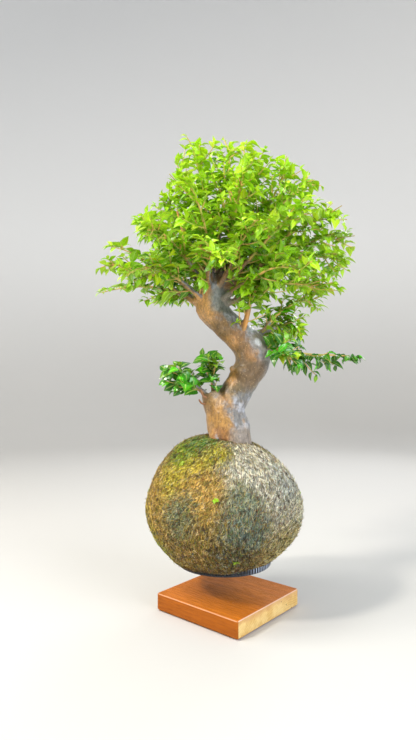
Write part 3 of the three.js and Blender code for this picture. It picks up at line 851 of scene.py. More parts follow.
def settle(
    piece: Piece,
    name: str,
    finishes: Sequence[Finish],
    body: Body,
    nodes: Sequence[str] = (),
) -> None:
    """Finishes a piece: place into its mesh, name, finish, body, slot and the solids that it stands for.

    Args:
        piece: The finished shape.
        name: The piece's name.
        finishes: Its finishes, in slot order.
        body: The body that it rides on.
        nodes: Solids that it replaces.
    """
    focus(piece)
    bpy.ops.object.transform_apply(location=True, rotation=True, scale=True)
    piece.name = piece.data.name = name
    indices = column(piece.data.polygons, "material_index", kind=np.int32)
    piece.data.materials.clear()
    for finish in finishes:
        piece.data.materials.append(finish.material())
    piece.data.polygons.foreach_set("material_index", np.minimum(indices, len(finishes) - 1))
    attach(piece, body.value)
    if nodes:
        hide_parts(*nodes)
    LOG.info("%s: %d faces", name, len(piece.data.polygons))


def dress(nodes: Iterable[str], finish: Finish) -> None:
    """Gives solids that stay as they are their finish.

    Args:
        nodes: The solids' names.
        finish: Their finish.
    """
    for node in nodes:
        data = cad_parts[node].data
        data.materials.clear()
        data.materials.append(finish.material())
        LOG.info("%s: finished as %s", node, finish.name)


@dataclass(frozen=True)
class Moulding(Finish):
    """A moulded plastic or rubber: a plain colour with a fine matt texture."""

    colour: Colour
    roughness: float
    texture: float = 0.03  # relief in mm
    # Patches of painted highlight
    painted_highlight: tuple[Patch, ...] = ()

    def nodes(self, shader: Shader) -> Surface:
        """Mottles the colour and lays the patches of painted highlight over it.

        Args:
            shader: Builds the material's tree.

        Returns:
            The surface's inputs.
        """
        place = shader.place()
        worn = shader.group(mottle, place, scale=0.12, softness=0.25)
        lighter = [min(1, share * 1.25 + 0.03) for share in self.colour]
        colour = shader.tint(linear(*self.colour), worn, lighter)
        return {
            "Base Color": shader.patched(colour, place, self.painted_highlight),
            "Roughness": shader.span(worn, 0, 1, self.roughness - 0.06, self.roughness + 0.1),
            "Normal": shader.bump(shader.noise(place, 2.2, 2), self.texture),
        }


@dataclass(frozen=True)
class Metal(Finish):
    """A bare metal or ferrite, with turning marks or windings about Z."""

    colour: Colour
    roughness: float
    metallic: float = 1.0
    pitch: float = 0.5  # mm between marks
    relief: float = 0.05  # mm

    def nodes(self, shader: Shader) -> Surface:
        """Stains the colour and cuts the marks.

        Args:
            shader: Builds the material's tree.

        Returns:
            The surface's inputs.
        """
        place = shader.place()
        rings = shader.node("TexWave", {"Vector": place, "Scale": 0.314 / self.pitch}, bands_direction="Z")
        stain = shader.group(mottle, place, scale=0.3, softness=0.3)
        return {
            "Base Color": shader.tint(linear(*self.colour), stain, [share * 0.72 for share in self.colour]),
            "Metallic": self.metallic,
            "Roughness": shader.span(stain, 0, 1, self.roughness, self.roughness + 0.15),
            "Normal": shader.bump(rings.outputs["Fac"], self.relief),
        }


@dataclass(frozen=True)
class OiledWood(Finish):
    """Straight-grained wood, oiled, with its end grain on the two faces across the grain."""

    name: str = "oiled wood"
    face: Colour = (0.82, 0.47, 0.12)
    late: Colour = (0.60, 0.27, 0.05)
    # The end grain's colour: paler than the long faces, partly as painted light
    end: Colour = (0.90, 0.75, 0.46)
    pith: Point = (38.0, 0.0, -70.0)  # mm, the middle of the rings, off the block
    ring: float = 2.6  # mm from one year to the next
    side: float = 49.9  # mm, where the upright faces are
    rim: float = 16.9  # mm, the height of the upper edges

    YEAR = ((0.0, 0.0), (0.55, 0.35), (0.9, 1.0), (1.0, 0.1))  # how dark the wood is through a year

    def nodes(self, shader: Shader) -> Surface:
        """Puts the faces along and across the grain together, darkens the upright long faces as painted shade
        and paints a highlight along the upper edges.

        Args:
            shader: Builds the material's tree.

        Returns:
            The surface's inputs.
        """
        place = shader.place(-BASE_TURN)
        normal = shader.coordinates("Normal")
        grain = self.grain(shader, place)
        pores = shader.group(streaks, place, stretch=(2.6, 0.075, 2.6), amount=0.62)
        along = self.long_faces(shader, place, grain, pores)
        flat = shader.math("ABSOLUTE", shader.part(normal, "Z"))
        # The upright long faces are darkened towards a deeper brown: painted shade
        along = shader.tint(along, shader.span(flat, 0.7, 0.3, 0, 0.48), (0.48, 0.22, 0.05))
        across = self.end_faces(shader, place, grain, pores)
        way = (math.cos(BASE_TURN + math.pi / 2), math.sin(BASE_TURN + math.pi / 2), 0)
        cross = shader.math("ABSOLUTE", shader.vector("DOT_PRODUCT", normal, way))
        colour = shader.mix(shader.span(cross, 0.8, 0.97), along, across)
        return {
            # Painted highlight along the upper edges
            "Base Color": shader.tint(colour, self.painted_highlight(shader, place), (1.0, 0.93, 0.86)),
            "Roughness": shader.span(pores, 0, 1, 0.48, 0.65),
            "Specular IOR Level": 0.12,
            "Normal": shader.bump(shader.math("ADD", pores, shader.math("MULTIPLY", grain, 0.3)), -0.09),
        }

    def grain(self, shader: Shader, place: Socket) -> Socket:
        """Gives how dark the wood is from ring to ring.

        Args:
            shader: Builds the material's tree.
            place: The place on the block.

        Returns:
            The darkness.
        """
        drawn = shader.vector("MULTIPLY", place, (0.05, 0.008, 0.05))
        inputs = {"Vector": drawn, "Scale": 1.0, "Detail": 2.0}
        wander = shader.scaled(shader.node("TexNoise", inputs).outputs["Color"], 9.0)
        across = shader.vector("SUBTRACT", shader.vector("ADD", place, wander), self.pith)
        radius = shader.vector("LENGTH", shader.vector("MULTIPLY", across, (1, 0, 1)))
        year = shader.math("FRACT", shader.math("DIVIDE", radius, self.ring))
        return shader.ramp(year, [(share, (dark, dark, dark, 1)) for share, dark in self.YEAR])

    def long_faces(self, shader: Shader, place: Socket, grain: Socket, pores: Socket) -> Socket:
        """Colours the faces along the grain.

        Args:
            shader: Builds the material's tree.
            place: The place on the block.
            grain: How dark the ring is.
            pores: Where the pores are.

        Returns:
            The colour.
        """
        fine = shader.group(streaks, place, stretch=(6.0, 0.16, 6.0), amount=0.9)
        drawn = shader.vector("MULTIPLY", place, (1.0, 0.16, 1.0))
        broad = shader.group(mottle, drawn, scale=0.09, softness=0.22)
        colour = shader.tint(linear(*self.face), broad, [share * 0.88 for share in self.face])
        colour = shader.tint(colour, grain, self.late, 0.4)
        colour = shader.tint(colour, fine, (0.86, 0.52, 0.17), 0.22)
        return shader.tint(colour, pores, (0.38, 0.17, 0.05), 0.36)

    def end_faces(self, shader: Shader, place: Socket, grain: Socket, pores: Socket) -> Socket:
        """Colours the end grain, which is paler than the long faces, partly as painted light, with paler
        mottles, knots and a rosy upper part above a ragged line.

        Args:
            shader: Builds the material's tree.
            place: The place on the block.
            grain: How dark the ring is.
            pores: Where the pores are.

        Returns:
            The colour.
        """
        pale = shader.tint(linear(*self.end), grain, (0.70, 0.48, 0.22), 0.45)
        pale = shader.tint(pale, pores, (0.50, 0.30, 0.14), 0.35)
        bleached = shader.group(mottle, place, scale=0.11, softness=0.16)
        pale = shader.tint(pale, bleached, (0.96, 0.86, 0.62), 0.5)
        knots = shader.group(specks, place, scale=0.13, size=0.13)
        knots = shader.math("MULTIPLY", knots, shader.span(shader.noise(place, 0.05, 1), 0.52, 0.6))
        pale = shader.tint(pale, knots, (0.42, 0.28, 0.12), 0.7)
        foot = shader.math("MULTIPLY_ADD", shader.noise(place, 0.08, 4), 16.0, 2.0)
        rosy = shader.span(shader.part(place, "Z"), foot, shader.math("ADD", foot, 6.0), 0, 0.6)
        return shader.tint(pale, rosy, (0.79, 0.56, 0.37))

    def painted_highlight(self, shader: Shader, place: Socket) -> Socket:
        """Finds the upper edges for a painted highlight, which is brightest on the side towards -Y.

        Args:
            shader: Builds the material's tree.
            place: The place on the block.

        Returns:
            The mask.
        """
        x, y = (shader.math("ABSOLUTE", shader.part(place, axis)) for axis in "XY")
        edges = shader.span(shader.math("MAXIMUM", x, y), self.side - 1, self.side)
        edges = shader.math("MULTIPLY", edges, shader.span(shader.part(place, "Z"), self.rim - 1, self.rim))
        facing = shader.span(shader.part(place, "Y"), -49.5, -48.5, 1, 0)
        return shader.math("MULTIPLY", edges, shader.math("MULTIPLY_ADD", facing, 0.5, 0.4))


# Laid over each other in this order
MOSS_PATCHES = [
    # Pale moss on the upper right: partly pale moss, partly painted light from that side
    Patch((60, -30, 112), 50, (0.82, 0.80, 0.71)),
    Patch((30, -50, 146), 46, (0.83, 0.82, 0.76)),
    Patch((56, -36, 138), 22, (0.82, 0.83, 0.80)),
    Patch((-60, -40, 104), 48, (0.76, 0.62, 0.31)),
    Patch((-10, -50, 46), 44, (0.44, 0.37, 0.21)),
    Patch((-40, -60, 72), 26, (0.60, 0.49, 0.25)),
    Patch((-46, -48, 146), 30, (0.76, 0.69, 0.20)),
    Patch((-26, -62, 122), 24, (0.78, 0.63, 0.31)),
    Patch((-44, -58, 104), 19, (0.48, 0.50, 0.36)),
    Patch((12, -74, 118), 19, (0.54, 0.58, 0.50)),
    Patch((13, -74, 94), 22, (0.46, 0.52, 0.46)),
    Patch((4, -70, 68), 17, (0.36, 0.36, 0.27)),
    Patch((52, -44, 66), 28, (0.70, 0.65, 0.46)),
    Patch((-78, -10, 90), 24, (0.74, 0.66, 0.24)),
    Patch((-66, -24, 66), 20, (0.64, 0.65, 0.20)),
    Patch((-14, -42, 162), 17, (0.70, 0.66, 0.20)),
    Patch((-44, -24, 162), 19, (0.46, 0.58, 0.10)),
    Patch((-28, -20, 172), 18, (0.30, 0.46, 0.08)),
    Patch((30, 58, 140), 38, (0.76, 0.72, 0.54)),
    Patch((-36, 58, 104), 34, (0.68, 0.57, 0.31)),
    Patch((24, 66, 84), 30, (0.47, 0.49, 0.37)),
    Patch((-10, 40, 50), 40, (0.42, 0.36, 0.20)),
]

# Shares of the fibres, from and to, that lean towards a colour of their own
MOSS_TINTS = [
    (0.0, 0.09, (0.66, 0.34, 0.13)),
    (0.09, 0.2, (0.86, 0.72, 0.20)),
    (0.2, 0.3, (0.50, 0.62, 0.22)),
    (0.3, 0.38, (0.52, 0.60, 0.62)),
    (0.38, 0.46, (0.36, 0.22, 0.16)),
]

# Directions from the ball's centre to the small plants in its moss
SPRIG_WAYS = [
    (-1, -0.05, 0.22),
    (-0.12, -0.9, 0.28),
    (-0.93, -0.1, -0.5),
    (0.13, -0.9, -0.5),
    (0.03, -0.62, -0.9),
    (-0.55, -0.5, 0.66),
    (0.95, -0.1, 0.2),
    (0.7, 0.6, 0.5),
    (-0.3, 0.9, 0.2),
    (0.4, 0.85, -0.35),
    (-0.8, 0.5, -0.2),
]


@effect("Moss colours", "Color", jitter=0.0)
def moss_colours(shader: Shader, vector: Socket, jitter: Socket) -> Socket:
    """Lays the ball's patches of colour over its olive ground.

    Args:
        shader: Builds the group.
        vector: The place in mm.
        jitter: Moves the patches' edges.

    Returns:
        The colour.
    """
    blotch = shader.group(mottle, vector, scale=0.16, softness=0.12)
    ground = shader.tint(linear(0.56, 0.49, 0.28), blotch, (0.64, 0.55, 0.34))
    return shader.patched(ground, vector, MOSS_PATCHES, jitter=jitter)


@dataclass(frozen=True)
class MossFelt(Finish):
    """The felted ground of the moss between its fibres."""

    name: str = "moss felt"
    dark: float = 0.75  # share of shade in the gaps

    def nodes(self, shader: Shader) -> Surface:
        """Darkens the gaps and dots in the moss's colours.

        Args:
            shader: Builds the material's tree.

        Returns:
            The surface's inputs.
        """
        place = shader.place()
        gaps = shader.group(mottle, place, scale=0.42, softness=0.12)
        dots = shader.group(specks, place, scale=0.45, size=0.26)
        colour = shader.group(moss_colours, place)
        colour = shader.tint(colour, shader.span(gaps, 0, 1, 0.35, self.dark), (0.13, 0.10, 0.05))
        return {
            "Base Color": shader.tint(colour, dots, (0.08, 0.06, 0.04), 0.6),
            "Roughness": shader.span(gaps, 0, 1, 0.85, 1.0),
            "Specular IOR Level": 0.25,
            "Normal": shader.bump(shader.noise(place, 0.9, 5, 0.7), 0.9),
        }


@dataclass(frozen=True)
class MossFibres(Finish):
    """The fibres of the moss. Their tone holds their light, their shade and a random share."""

    name: str = "moss fibres"

    def nodes(self, shader: Shader) -> Surface:
        """Lights, shades and tints each fibre.

        Args:
            shader: Builds the material's tree.

        Returns:
            The surface's inputs.
        """
        place, tone = shader.place(), shader.tone()
        light, shade, chance = tone["Red"], tone["Green"], tone["Blue"]
        jitter = shader.math("MULTIPLY_ADD", chance, 0.7, -0.35)
        colour = shader.group(moss_colours, place, jitter=jitter)
        colour = shader.scaled(colour, shader.span(light, 0.25, 0.85, 0.5, 2.1))
        colour = shader.tint(colour, shader.span(light, 0.7, 0.9, 0, 0.4), (1.0, 0.95, 0.80))
        colour = shader.tint(colour, shader.span(shade, 0.5, 0.75, 0, 0.95), (0.15, 0.11, 0.05))
        turn = shader.math("FRACT", shader.math("MULTIPLY", chance, 13.0))
        for low, high, tint in MOSS_TINTS:
            over, under = shader.math("GREATER_THAN", turn, low), shader.math("LESS_THAN", turn, high)
            colour = shader.tint(colour, shader.math("MULTIPLY", over, under), tint, 0.5)
        spots = shader.group(specks, place, scale=0.07, size=0.17)
        colour = shader.tint(colour, spots, (0.17, 0.09, 0.06), 0.8)
        return {"Base Color": colour, "Roughness": 0.6, "Specular IOR Level": 0.35}


@dataclass(frozen=True)
class Soil(Finish):
    """Dark crumbly soil."""

    name: str = "soil"

    def nodes(self, shader: Shader) -> Surface:
        """Makes the crumbs.

        Args:
            shader: Builds the material's tree.

        Returns:
            The surface's inputs.
        """
        crumb = shader.noise(shader.place(), 0.6, 6, 0.7)
        stops = [(0.3, linear(0.10, 0.07, 0.05)), (0.75, linear(0.30, 0.22, 0.15))]
        return {
            "Base Color": shader.ramp(crumb, stops),
            "Roughness": 0.95,
            "Normal": shader.bump(crumb, 1.5),
        }


# Laid over each other in this order, under the silver
BARK_PATCHES = [
    Patch((6, -10, 276), 22, (0.54, 0.39, 0.22)),
    Patch((14, -10, 226), 20, (0.38, 0.34, 0.24)),
    Patch((27, -10, 246), 20, (0.42, 0.33, 0.21)),
    Patch((24, -16, 252), 9, (0.60, 0.44, 0.26)),
    # Painted highlights, golden, on the inner curve of the trunk by the knee: this patch and the next
    Patch((3, -8, 264), 8, (0.74, 0.54, 0.30)),
    Patch((1, -9, 228), 10, (0.72, 0.52, 0.25)),
    Patch((-26, -10, 298), 18, (0.82, 0.61, 0.34)),
    Patch((-4, -12, 279), 10, (0.54, 0.42, 0.25)),
    Patch((-14, -12, 186), 20, (0.69, 0.51, 0.25)),
    Patch((-8, -17, 170), 11, (0.62, 0.42, 0.20)),
    Patch((-6, -17, 160), 10, (0.46, 0.29, 0.16)),
]

# Laid over the silver, in this order
LATE_PATCHES = [
    Patch((14, -16, 168), 14, (0.55, 0.49, 0.43)),
    Patch((-7, -13, 304), 13, (0.54, 0.55, 0.52)),
    Patch((30, -12, 264), 10, (0.46, 0.42, 0.36)),
    # Painted highlights on the knee's upper right: this patch and the next two
    Patch((37, -9, 251), 7, (0.58, 0.55, 0.50)),
    Patch((29, -14, 263), 4.5, (0.76, 0.76, 0.76)),
    Patch((38, -10, 249), 4, (0.76, 0.76, 0.76)),
    Patch((21, -14, 231), 13, (0.44, 0.34, 0.21)),
    # Dark at the cut tops under the crown: partly dark cut wood, partly painted shade
    Patch((-10, -6, 336), 13, (0.15, 0.11, 0.07)),
    Patch((-4, -6, 219), 8, (0.17, 0.15, 0.08)),
    Patch((-15, -7, 213), 7, (0.56, 0.45, 0.29)),
]


@dataclass(frozen=True)
class Bark(Finish):
    """Smooth privet bark: golden tan on the sheltered left, silvery grey on the side towards the upper right,
    which is partly weathered bark and partly painted cool light.
    """

    name: str = "bark"
    gold: Colour = (0.79, 0.63, 0.39)
    tan: Colour = (0.66, 0.47, 0.28)
    brown: Colour = (0.42, 0.34, 0.24)
    silver: Colour = (0.46, 0.47, 0.48)
    weathered_and_lit_way: Point = (0.85, -0.10, 0.38)  # the way that the silvery side faces: weathered bark, and painted cool light from that side
    shelter: Point = (24.0, -14.0, 232.0)  # mm, where the knee stays brown, with less of the silver's painted light
    shelter_radius: float = 17.0  # mm

    def nodes(self, shader: Shader) -> Surface:
        """Lays the silver between two sets of patches, and the grain, marks and cracks over all.

        Args:
            shader: Builds the material's tree.

        Returns:
            The surface's inputs.
        """
        place = shader.place()
        silver = self.silvered(shader, place)
        warm = shader.group(mottle, place, scale=0.11, softness=0.3)
        shade = shader.group(mottle, place, scale=0.26, softness=0.22)
        colour = shader.tint(linear(*self.gold), warm, self.tan)
        colour = shader.tint(colour, shader.span(shade, 0, 1, 0.08, 0.6), self.brown)
        colour = shader.patched(colour, place, BARK_PATCHES, 0.85)
        colour = shader.tint(colour, silver, self.silver, 0.88)
        # Painted highlights: bluish-white gleams over the silvery side
        gleam = shader.span(shader.noise(place, 0.12, 3, 0.55), 0.45, 0.68)
        gleam = shader.math("MULTIPLY", gleam, shader.math("MULTIPLY_ADD", silver, 0.38, 0.06))
        colour = shader.tint(colour, gleam, (0.84, 0.86, 0.92))
        colour = shader.patched(colour, place, LATE_PATCHES, 0.8)
        grain = shader.noise(shader.vector("MULTIPLY", place, (1.0, 1.0, 0.5)), 0.42, 5, 0.75)
        colour = shader.scaled(colour, shader.span(grain, 0.3, 0.7, 0.62, 1.38))
        marks = shader.group(streaks, place, stretch=(0.5, 0.5, 2.2), amount=0.5)
        cracks = shader.group(streaks, place, stretch=(1.1, 1.1, 0.13), amount=0.36)
        pale = shader.group(specks, place, scale=0.42, size=0.18)
        colour = shader.tint(colour, marks, (0.36, 0.24, 0.14), 0.28)
        colour = shader.tint(colour, cracks, (0.28, 0.18, 0.11), 0.24)
        relief = shader.math("SUBTRACT", grain, shader.math("MULTIPLY", cracks, 0.4))
        relief = shader.math("SUBTRACT", relief, shader.math("MULTIPLY", marks, 0.25))
        return {
            "Base Color": shader.tint(colour, pale, (0.90, 0.80, 0.62), 0.5),
            "Roughness": shader.span(silver, 0, 1, 0.42, 0.28),
            "Coat Weight": 0.28,
            "Coat Roughness": 0.3,
            "Normal": shader.bump(relief, 0.8),
        }

    def silvered(self, shader: Shader, place: Socket) -> Socket:
        """Finds the silvery side, partly weathered bark and partly painted cool light, with a ragged edge and
        but little of it in the shelter of the knee.

        Args:
            shader: Builds the material's tree.
            place: The place on the wood.

        Returns:
            The mask.
        """
        facing = shader.vector("DOT_PRODUCT", shader.coordinates("Normal"), self.weathered_and_lit_way)
        ragged = shader.math("MULTIPLY_ADD", shader.noise(place, 0.09, 6, 0.7), 1.3, -0.65)
        silver = shader.span(shader.math("ADD", facing, ragged), 0.0, 0.5)
        kept = shader.group(patch, place, centre=self.shelter, radius=self.shelter_radius)
        return shader.math("MULTIPLY", silver, shader.math("MULTIPLY_ADD", kept, -0.8, 1.0))


@dataclass(frozen=True)
class Stem(Finish):
    """The bark of young shoots and cut twigs, from orange tan to green."""

    wood: Colour
    young: Colour
    reddish: Patch = Patch((-27, -10, 208), 14, (0.62, 0.43, 0.29))  # the twigs on the stub

    def nodes(self, shader: Shader) -> Surface:
        """Mottles the two colours and dots them.

        Args:
            shader: Builds the material's tree.

        Returns:
            The surface's inputs.
        """
        place = shader.place()
        mottled = shader.group(mottle, place, scale=0.08, softness=0.15)
        dots = shader.group(specks, place, scale=0.8, size=0.2)
        colour = shader.tint(linear(*self.wood), mottled, self.young)
        colour = shader.patched(colour, place, [self.reddish])
        return {
            "Base Color": shader.tint(colour, dots, (0.88, 0.78, 0.55), 0.4),
            "Roughness": 0.55,
            "Normal": shader.bump(dots, 0.15),
        }


@dataclass(frozen=True)
class LeafSkin(Finish):
    """A thin glossy leaf with its ribs, whose tone holds its age and two random shares."""

    name: str = "leaf"
    young: Colour = (0.76, 0.93, 0.07)
    old: Colour = (0.07, 0.42, 0.11)
    low: Colour = (0.32, 0.79, 0.05)  # on the low shoots, whose ages go past 1
    age_and_painted_shade: Colour = (0.06, 0.24, 0.08)  # that the low ones turn to past age 1: partly age, partly painted shade under the crown

    def nodes(self, shader: Shader) -> Surface:
        """Colours the leaf by its age and lays its ribs over it.

        Args:
            shader: Builds the material's tree.

        Returns:
            The surface's inputs.
        """
        tone, flat = shader.tone(), shader.coordinates("UV")
        age = tone["Red"]
        colour = shader.tint(linear(*self.young), age, self.old)
        colour = shader.tint(colour, shader.math("GREATER_THAN", age, 0.998), self.low)
        colour = shader.tint(colour, shader.span(tone["Green"], 0, 1, 0, 0.35), (0.43, 0.84, 0.04))
        colour = shader.tint(colour, shader.span(age, 0.98, 1.22, 0, 0.85), self.age_and_painted_shade)
        colour = shader.tint(colour, shader.span(tone["Blue"], 0.95, 0.97, 0, 0.7), (0.74, 0.81, 0.08))
        off = shader.math("ABSOLUTE", shader.math("SUBTRACT", shader.part(flat, "Y"), 0.5))
        rib = shader.span(off, 0.09, 0.03)
        slant = shader.math("SUBTRACT", shader.part(flat, "X"), shader.math("MULTIPLY", off, 0.5))
        veins = shader.math("ABSOLUTE", shader.math("SINE", shader.math("MULTIPLY", slant, 28.0)))
        veins = shader.span(veins, 0.25, 0.0)
        colour = shader.tint(colour, rib, (0.80, 0.90, 0.42), 0.45)
        return {
            "Base Color": shader.tint(colour, veins, (0.72, 0.86, 0.30), 0.14),
            "Roughness": shader.span(age, 0, 1, 0.34, 0.2),
            "Specular IOR Level": 0.6,
            "Subsurface Weight": 0.15,
            "Subsurface Radius": (0.6, 1.0, 0.2),
            "Subsurface Scale": 0.002,
            "Normal": shader.bump(shader.math("ADD", shader.math("MULTIPLY", veins, 0.5), rib), -0.2),
        }


@dataclass(frozen=True)
class FloorPaint(Finish):
    """A matt paint for the studio's floor, which grows paler up its rim."""

    name: str = "pale floor"

    def nodes(self, shader: Shader) -> Surface:
        """Clouds the paint a little and makes it paler with height.

        Args:
            shader: Builds the material's tree.

        Returns:
            The surface's inputs.
        """
        place = shader.place()
        ground = shader.tint(linear(0.80, 0.79, 0.775), shader.noise(place, 0.004, 2), (0.785, 0.78, 0.77))
        height = shader.span(shader.part(place, "Z"), 0, 900)
        return {
            "Base Color": shader.tint(ground, height, (0.93, 0.93, 0.93)),
            "Roughness": 0.8,
            "Specular IOR Level": 0.2,
        }


@dataclass(frozen=True)
class Lamp:
    """A square soft light that looks at the middle of the plant.

    Attributes:
        name: Its name.
        place: Where it stands, in metres.
        size: Its side in metres.
        power: In watts.
        tint: Its colour.
    """

    name: str
    place: Point
    size: float
    power: float
    tint: Colour

    def hang(self) -> None:
        """Puts the light up."""
        data = bpy.data.lights.new(self.name, "AREA")
        data.size = self.size
        data.energy = self.power
        data.color = self.tint
        made = linked(self.name, data)
        made.location = self.place
        made.rotation_euler = (AIM - Vector(self.place)).to_track_quat("-Z", "Y").to_euler()


@dataclass
class Studio:
    """A plain pale studio: a round floor with an upturned rim, soft lights and the camera."""

    floor_radius: float = 1.3  # m
    sweep: float = 0.7  # m, the radius of the rim's curve
    steps: int = 10  # of the curve
    rise: float = 1.6  # m that the rim goes on upwards
    pitch: float = math.radians(90.7)
    lens: float = 27.13  # mm, on a sensor of 36 mm
    sky: tuple[float, float, float, float] = (0.90, 0.94, 1.0, 1)
    sky_strength: float = 0.42
    lamps: tuple[Lamp, ...] = (
        Lamp("key light", (-0.90, -0.60, 1.05), 0.16, 13.5, (1.0, 0.94, 0.84)),
        Lamp("fill light", (0.82, -0.80, 0.62), 0.8, 14.0, (0.88, 0.94, 1.0)),
        Lamp("top light", (-0.80, -0.20, 1.25), 0.5, 12.5, (1.0, 0.98, 0.92)),
        Lamp("back light", (0.5, 0.95, 0.85), 0.6, 5.0, (0.95, 0.97, 1.0)),
    )

    def build(self) -> None:
        """Makes the camera, the floor, the world and the lights."""
        self.camera()
        self.floor()
        self.world()
        for lamp in self.lamps:
            lamp.hang()

    def camera(self) -> None:
        """Puts the camera where the photograph was taken from."""
        data = bpy.data.cameras.new("camera")
        data.lens = self.lens
        data.sensor_width = 36.0
        data.clip_start = 0.01
        made = linked("camera", data)
        made.location = EYE * MM
        made.rotation_euler = (self.pitch, 0, 0)
        bpy.context.scene.camera = made

    def floor(self) -> None:
        """Makes a round floor whose rim sweeps up far outside the object."""
        floor = primitive(
            bpy.ops.mesh.primitive_circle_add, vertices=96, radius=self.floor_radius, fill_type="NGON",
        )
        floor.name = "floor"

        def raise_rim() -> None:
            """Draws the rim outwards and up."""
            pick(Element.EDGE, lambda place, _: True)
            angles = [math.pi / 2 * share for share in even(self.steps)]
            for last, angle in zip(angles, angles[1:]):
                before, after = (self.floor_radius + self.sweep * math.sin(turn) for turn in (last, angle))
                lift = self.sweep * (math.cos(last) - math.cos(angle))
                bpy.ops.mesh.extrude_edges_move(TRANSFORM_OT_translate={"value": (0, 0, lift)})
                bpy.ops.transform.resize(value=(after / before,) * 2 + (1,), center_override=(0, 0, 0))
            bpy.ops.mesh.extrude_edges_move(TRANSFORM_OT_translate={"value": (0, 0, self.rise)})

        edit(floor, raise_rim)
        floor.data.polygons.foreach_set("use_smooth", [True] * len(floor.data.polygons))
        floor.data.materials.append(FloorPaint().material())

    def world(self) -> None:
        """Sets a soft even light from all around."""
        world = bpy.data.worlds.new("studio")
        world.use_nodes = True
        inputs = world.node_tree.nodes["Background"].inputs
        inputs["Color"].default_value = self.sky
        inputs["Strength"].default_value = self.sky_strength
        bpy.context.scene.world = world
        bpy.context.scene.view_settings.view_transform = "Standard"


@dataclass
class WoodenBase:
    """The square block with what it holds."""

    rounding: float = 0.45  # mm, over the block's small bevels

    def build(self) -> None:
        """Rounds the block's edges and finishes what is in it."""
        block = merged_copy("base_block")

        def flatten() -> None:
            """Joins the triangles of each flat face."""
            bpy.ops.mesh.select_all(action="SELECT")
            bpy.ops.mesh.dissolve_limited(angle_limit=math.radians(1))

        edit(block, flatten)
        modify(
            block, "BEVEL",
            width=self.rounding * MM, segments=2, limit_method="ANGLE", angle_limit=math.radians(25),
        )
        smooth(block, 30)
        settle(block, "wooden_block", [OiledWood()], Body.BASE, ["base_block"])
        plastic = Moulding("cover plastic", (0.13, 0.13, 0.14), 0.5)
        dress(["base_plate", "power_jack", "hall_sensor"], plastic)
        dress(["base_pad"], Moulding("rubber", (0.10, 0.10, 0.10), 0.85, 0.12))
        dress(["circuit_board"], Moulding("solder mask", (0.08, 0.33, 0.18), 0.35))
        dress(["ring_magnet"], Metal("ferrite", (0.22, 0.22, 0.23), 0.6, 0.3))
        copper = Metal("wound copper", (0.80, 0.45, 0.26), 0.35, 1.0, 0.45, 0.2)
        dress([f"coil_{i}" for i in range(1, 5)], copper)
        dress([f"screw_{i}" for i in range(1, 5)], Metal("steel", (0.72, 0.73, 0.74), 0.3))


@dataclass
class MagnetTray:
    """The black ribbed tray under the ball, with its magnet. Its sizes are in mm."""

    radius: float = 46.0
    ribs: int = 90
    rib_depth: float = 0.8
    rib_inset: float = 0.22
    wall: float = 2.3
    floor: float = 1.5
    foot: float = 1.4  # thickness of the plain disc under the ribs
    foot_lift: float = 0.73  # of the disc's middle over the tray's underside
    glint: Patch = Patch((42, -18, 50), 30, (0.66, 0.70, 0.78))  # painted highlight on the ribs' crests, on the right side

    def build(self) -> None:
        """Models the tray from a cylinder and finishes it."""
        low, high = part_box("magnet_tray")
        middle, half = (low + high) / 2, (high.z - low.z) / 2
        cup = primitive(
            bpy.ops.mesh.primitive_cylinder_add, vertices=2 * self.ribs,
            radius=(self.radius - self.rib_depth) * MM, depth=high.z - low.z, location=middle,
        )
        edit(cup, lambda: self.hollow(half))
        foot = primitive(
            bpy.ops.mesh.primitive_cylinder_add, vertices=2 * self.ribs, radius=self.radius * MM,
            depth=self.foot * MM, location=(middle.x, middle.y, low.z + self.foot_lift * MM),
        )
        tray = joined([cup, foot])
        modify(tray, "BEVEL", width=0.16 * MM, segments=2, limit_method="ANGLE", angle_limit=math.radians(40))
        smooth(tray, 40)
        # The crests' faces get a slightly paler plastic that carries the painted highlight
        for face in tray.data.polygons:
            outer = abs(face.normal.z) < 0.3 and face.center.xy.length > (self.radius - 0.3) * MM
            face.material_index = int(outer and face.center.z > 1.6 * MM - half)
        plastic = Moulding("tray plastic", (0.07, 0.08, 0.11), 0.3)
        crest = Moulding("rib crests", (0.09, 0.10, 0.13), 0.2, painted_highlight=(self.glint,))
        settle(tray, "ribbed_tray", [plastic, crest], Body.PLANT, ["magnet_tray"])
        dress(["disc_magnet"], Metal("plated magnet", (0.70, 0.70, 0.71), 0.25))

    def hollow(self, half: float) -> None:
        """Opens the cup from above, and draws every second face of its side out as a rib.

        Args:
            half: Half of its height, in metres.
        """
        pick(Element.FACE, lambda place, normal: normal.z > 0.9)
        bpy.ops.mesh.inset(thickness=(self.wall - self.rib_depth) * MM)
        drop = 2 * half - self.floor * MM
        bpy.ops.mesh.extrude_region_move(TRANSFORM_OT_translate={"value": (0, 0, -drop)})
        step = math.pi / self.ribs
        outside = (self.radius - self.rib_depth) * MM * 0.98

        def rib(place: Vector, normal: Vector) -> bool:
            """Says whether a face becomes a rib."""
            side = abs(normal.z) < 0.1 and place.xy.length > outside
            return side and round(math.atan2(place.y, place.x) / step - 0.5) % 2 == 0

        pick(Element.FACE, rib)
        bpy.ops.mesh.inset(thickness=self.rib_inset * MM, use_individual=True)
        bpy.ops.mesh.extrude_faces_move(TRANSFORM_OT_shrink_fatten={"value": self.rib_depth * MM})


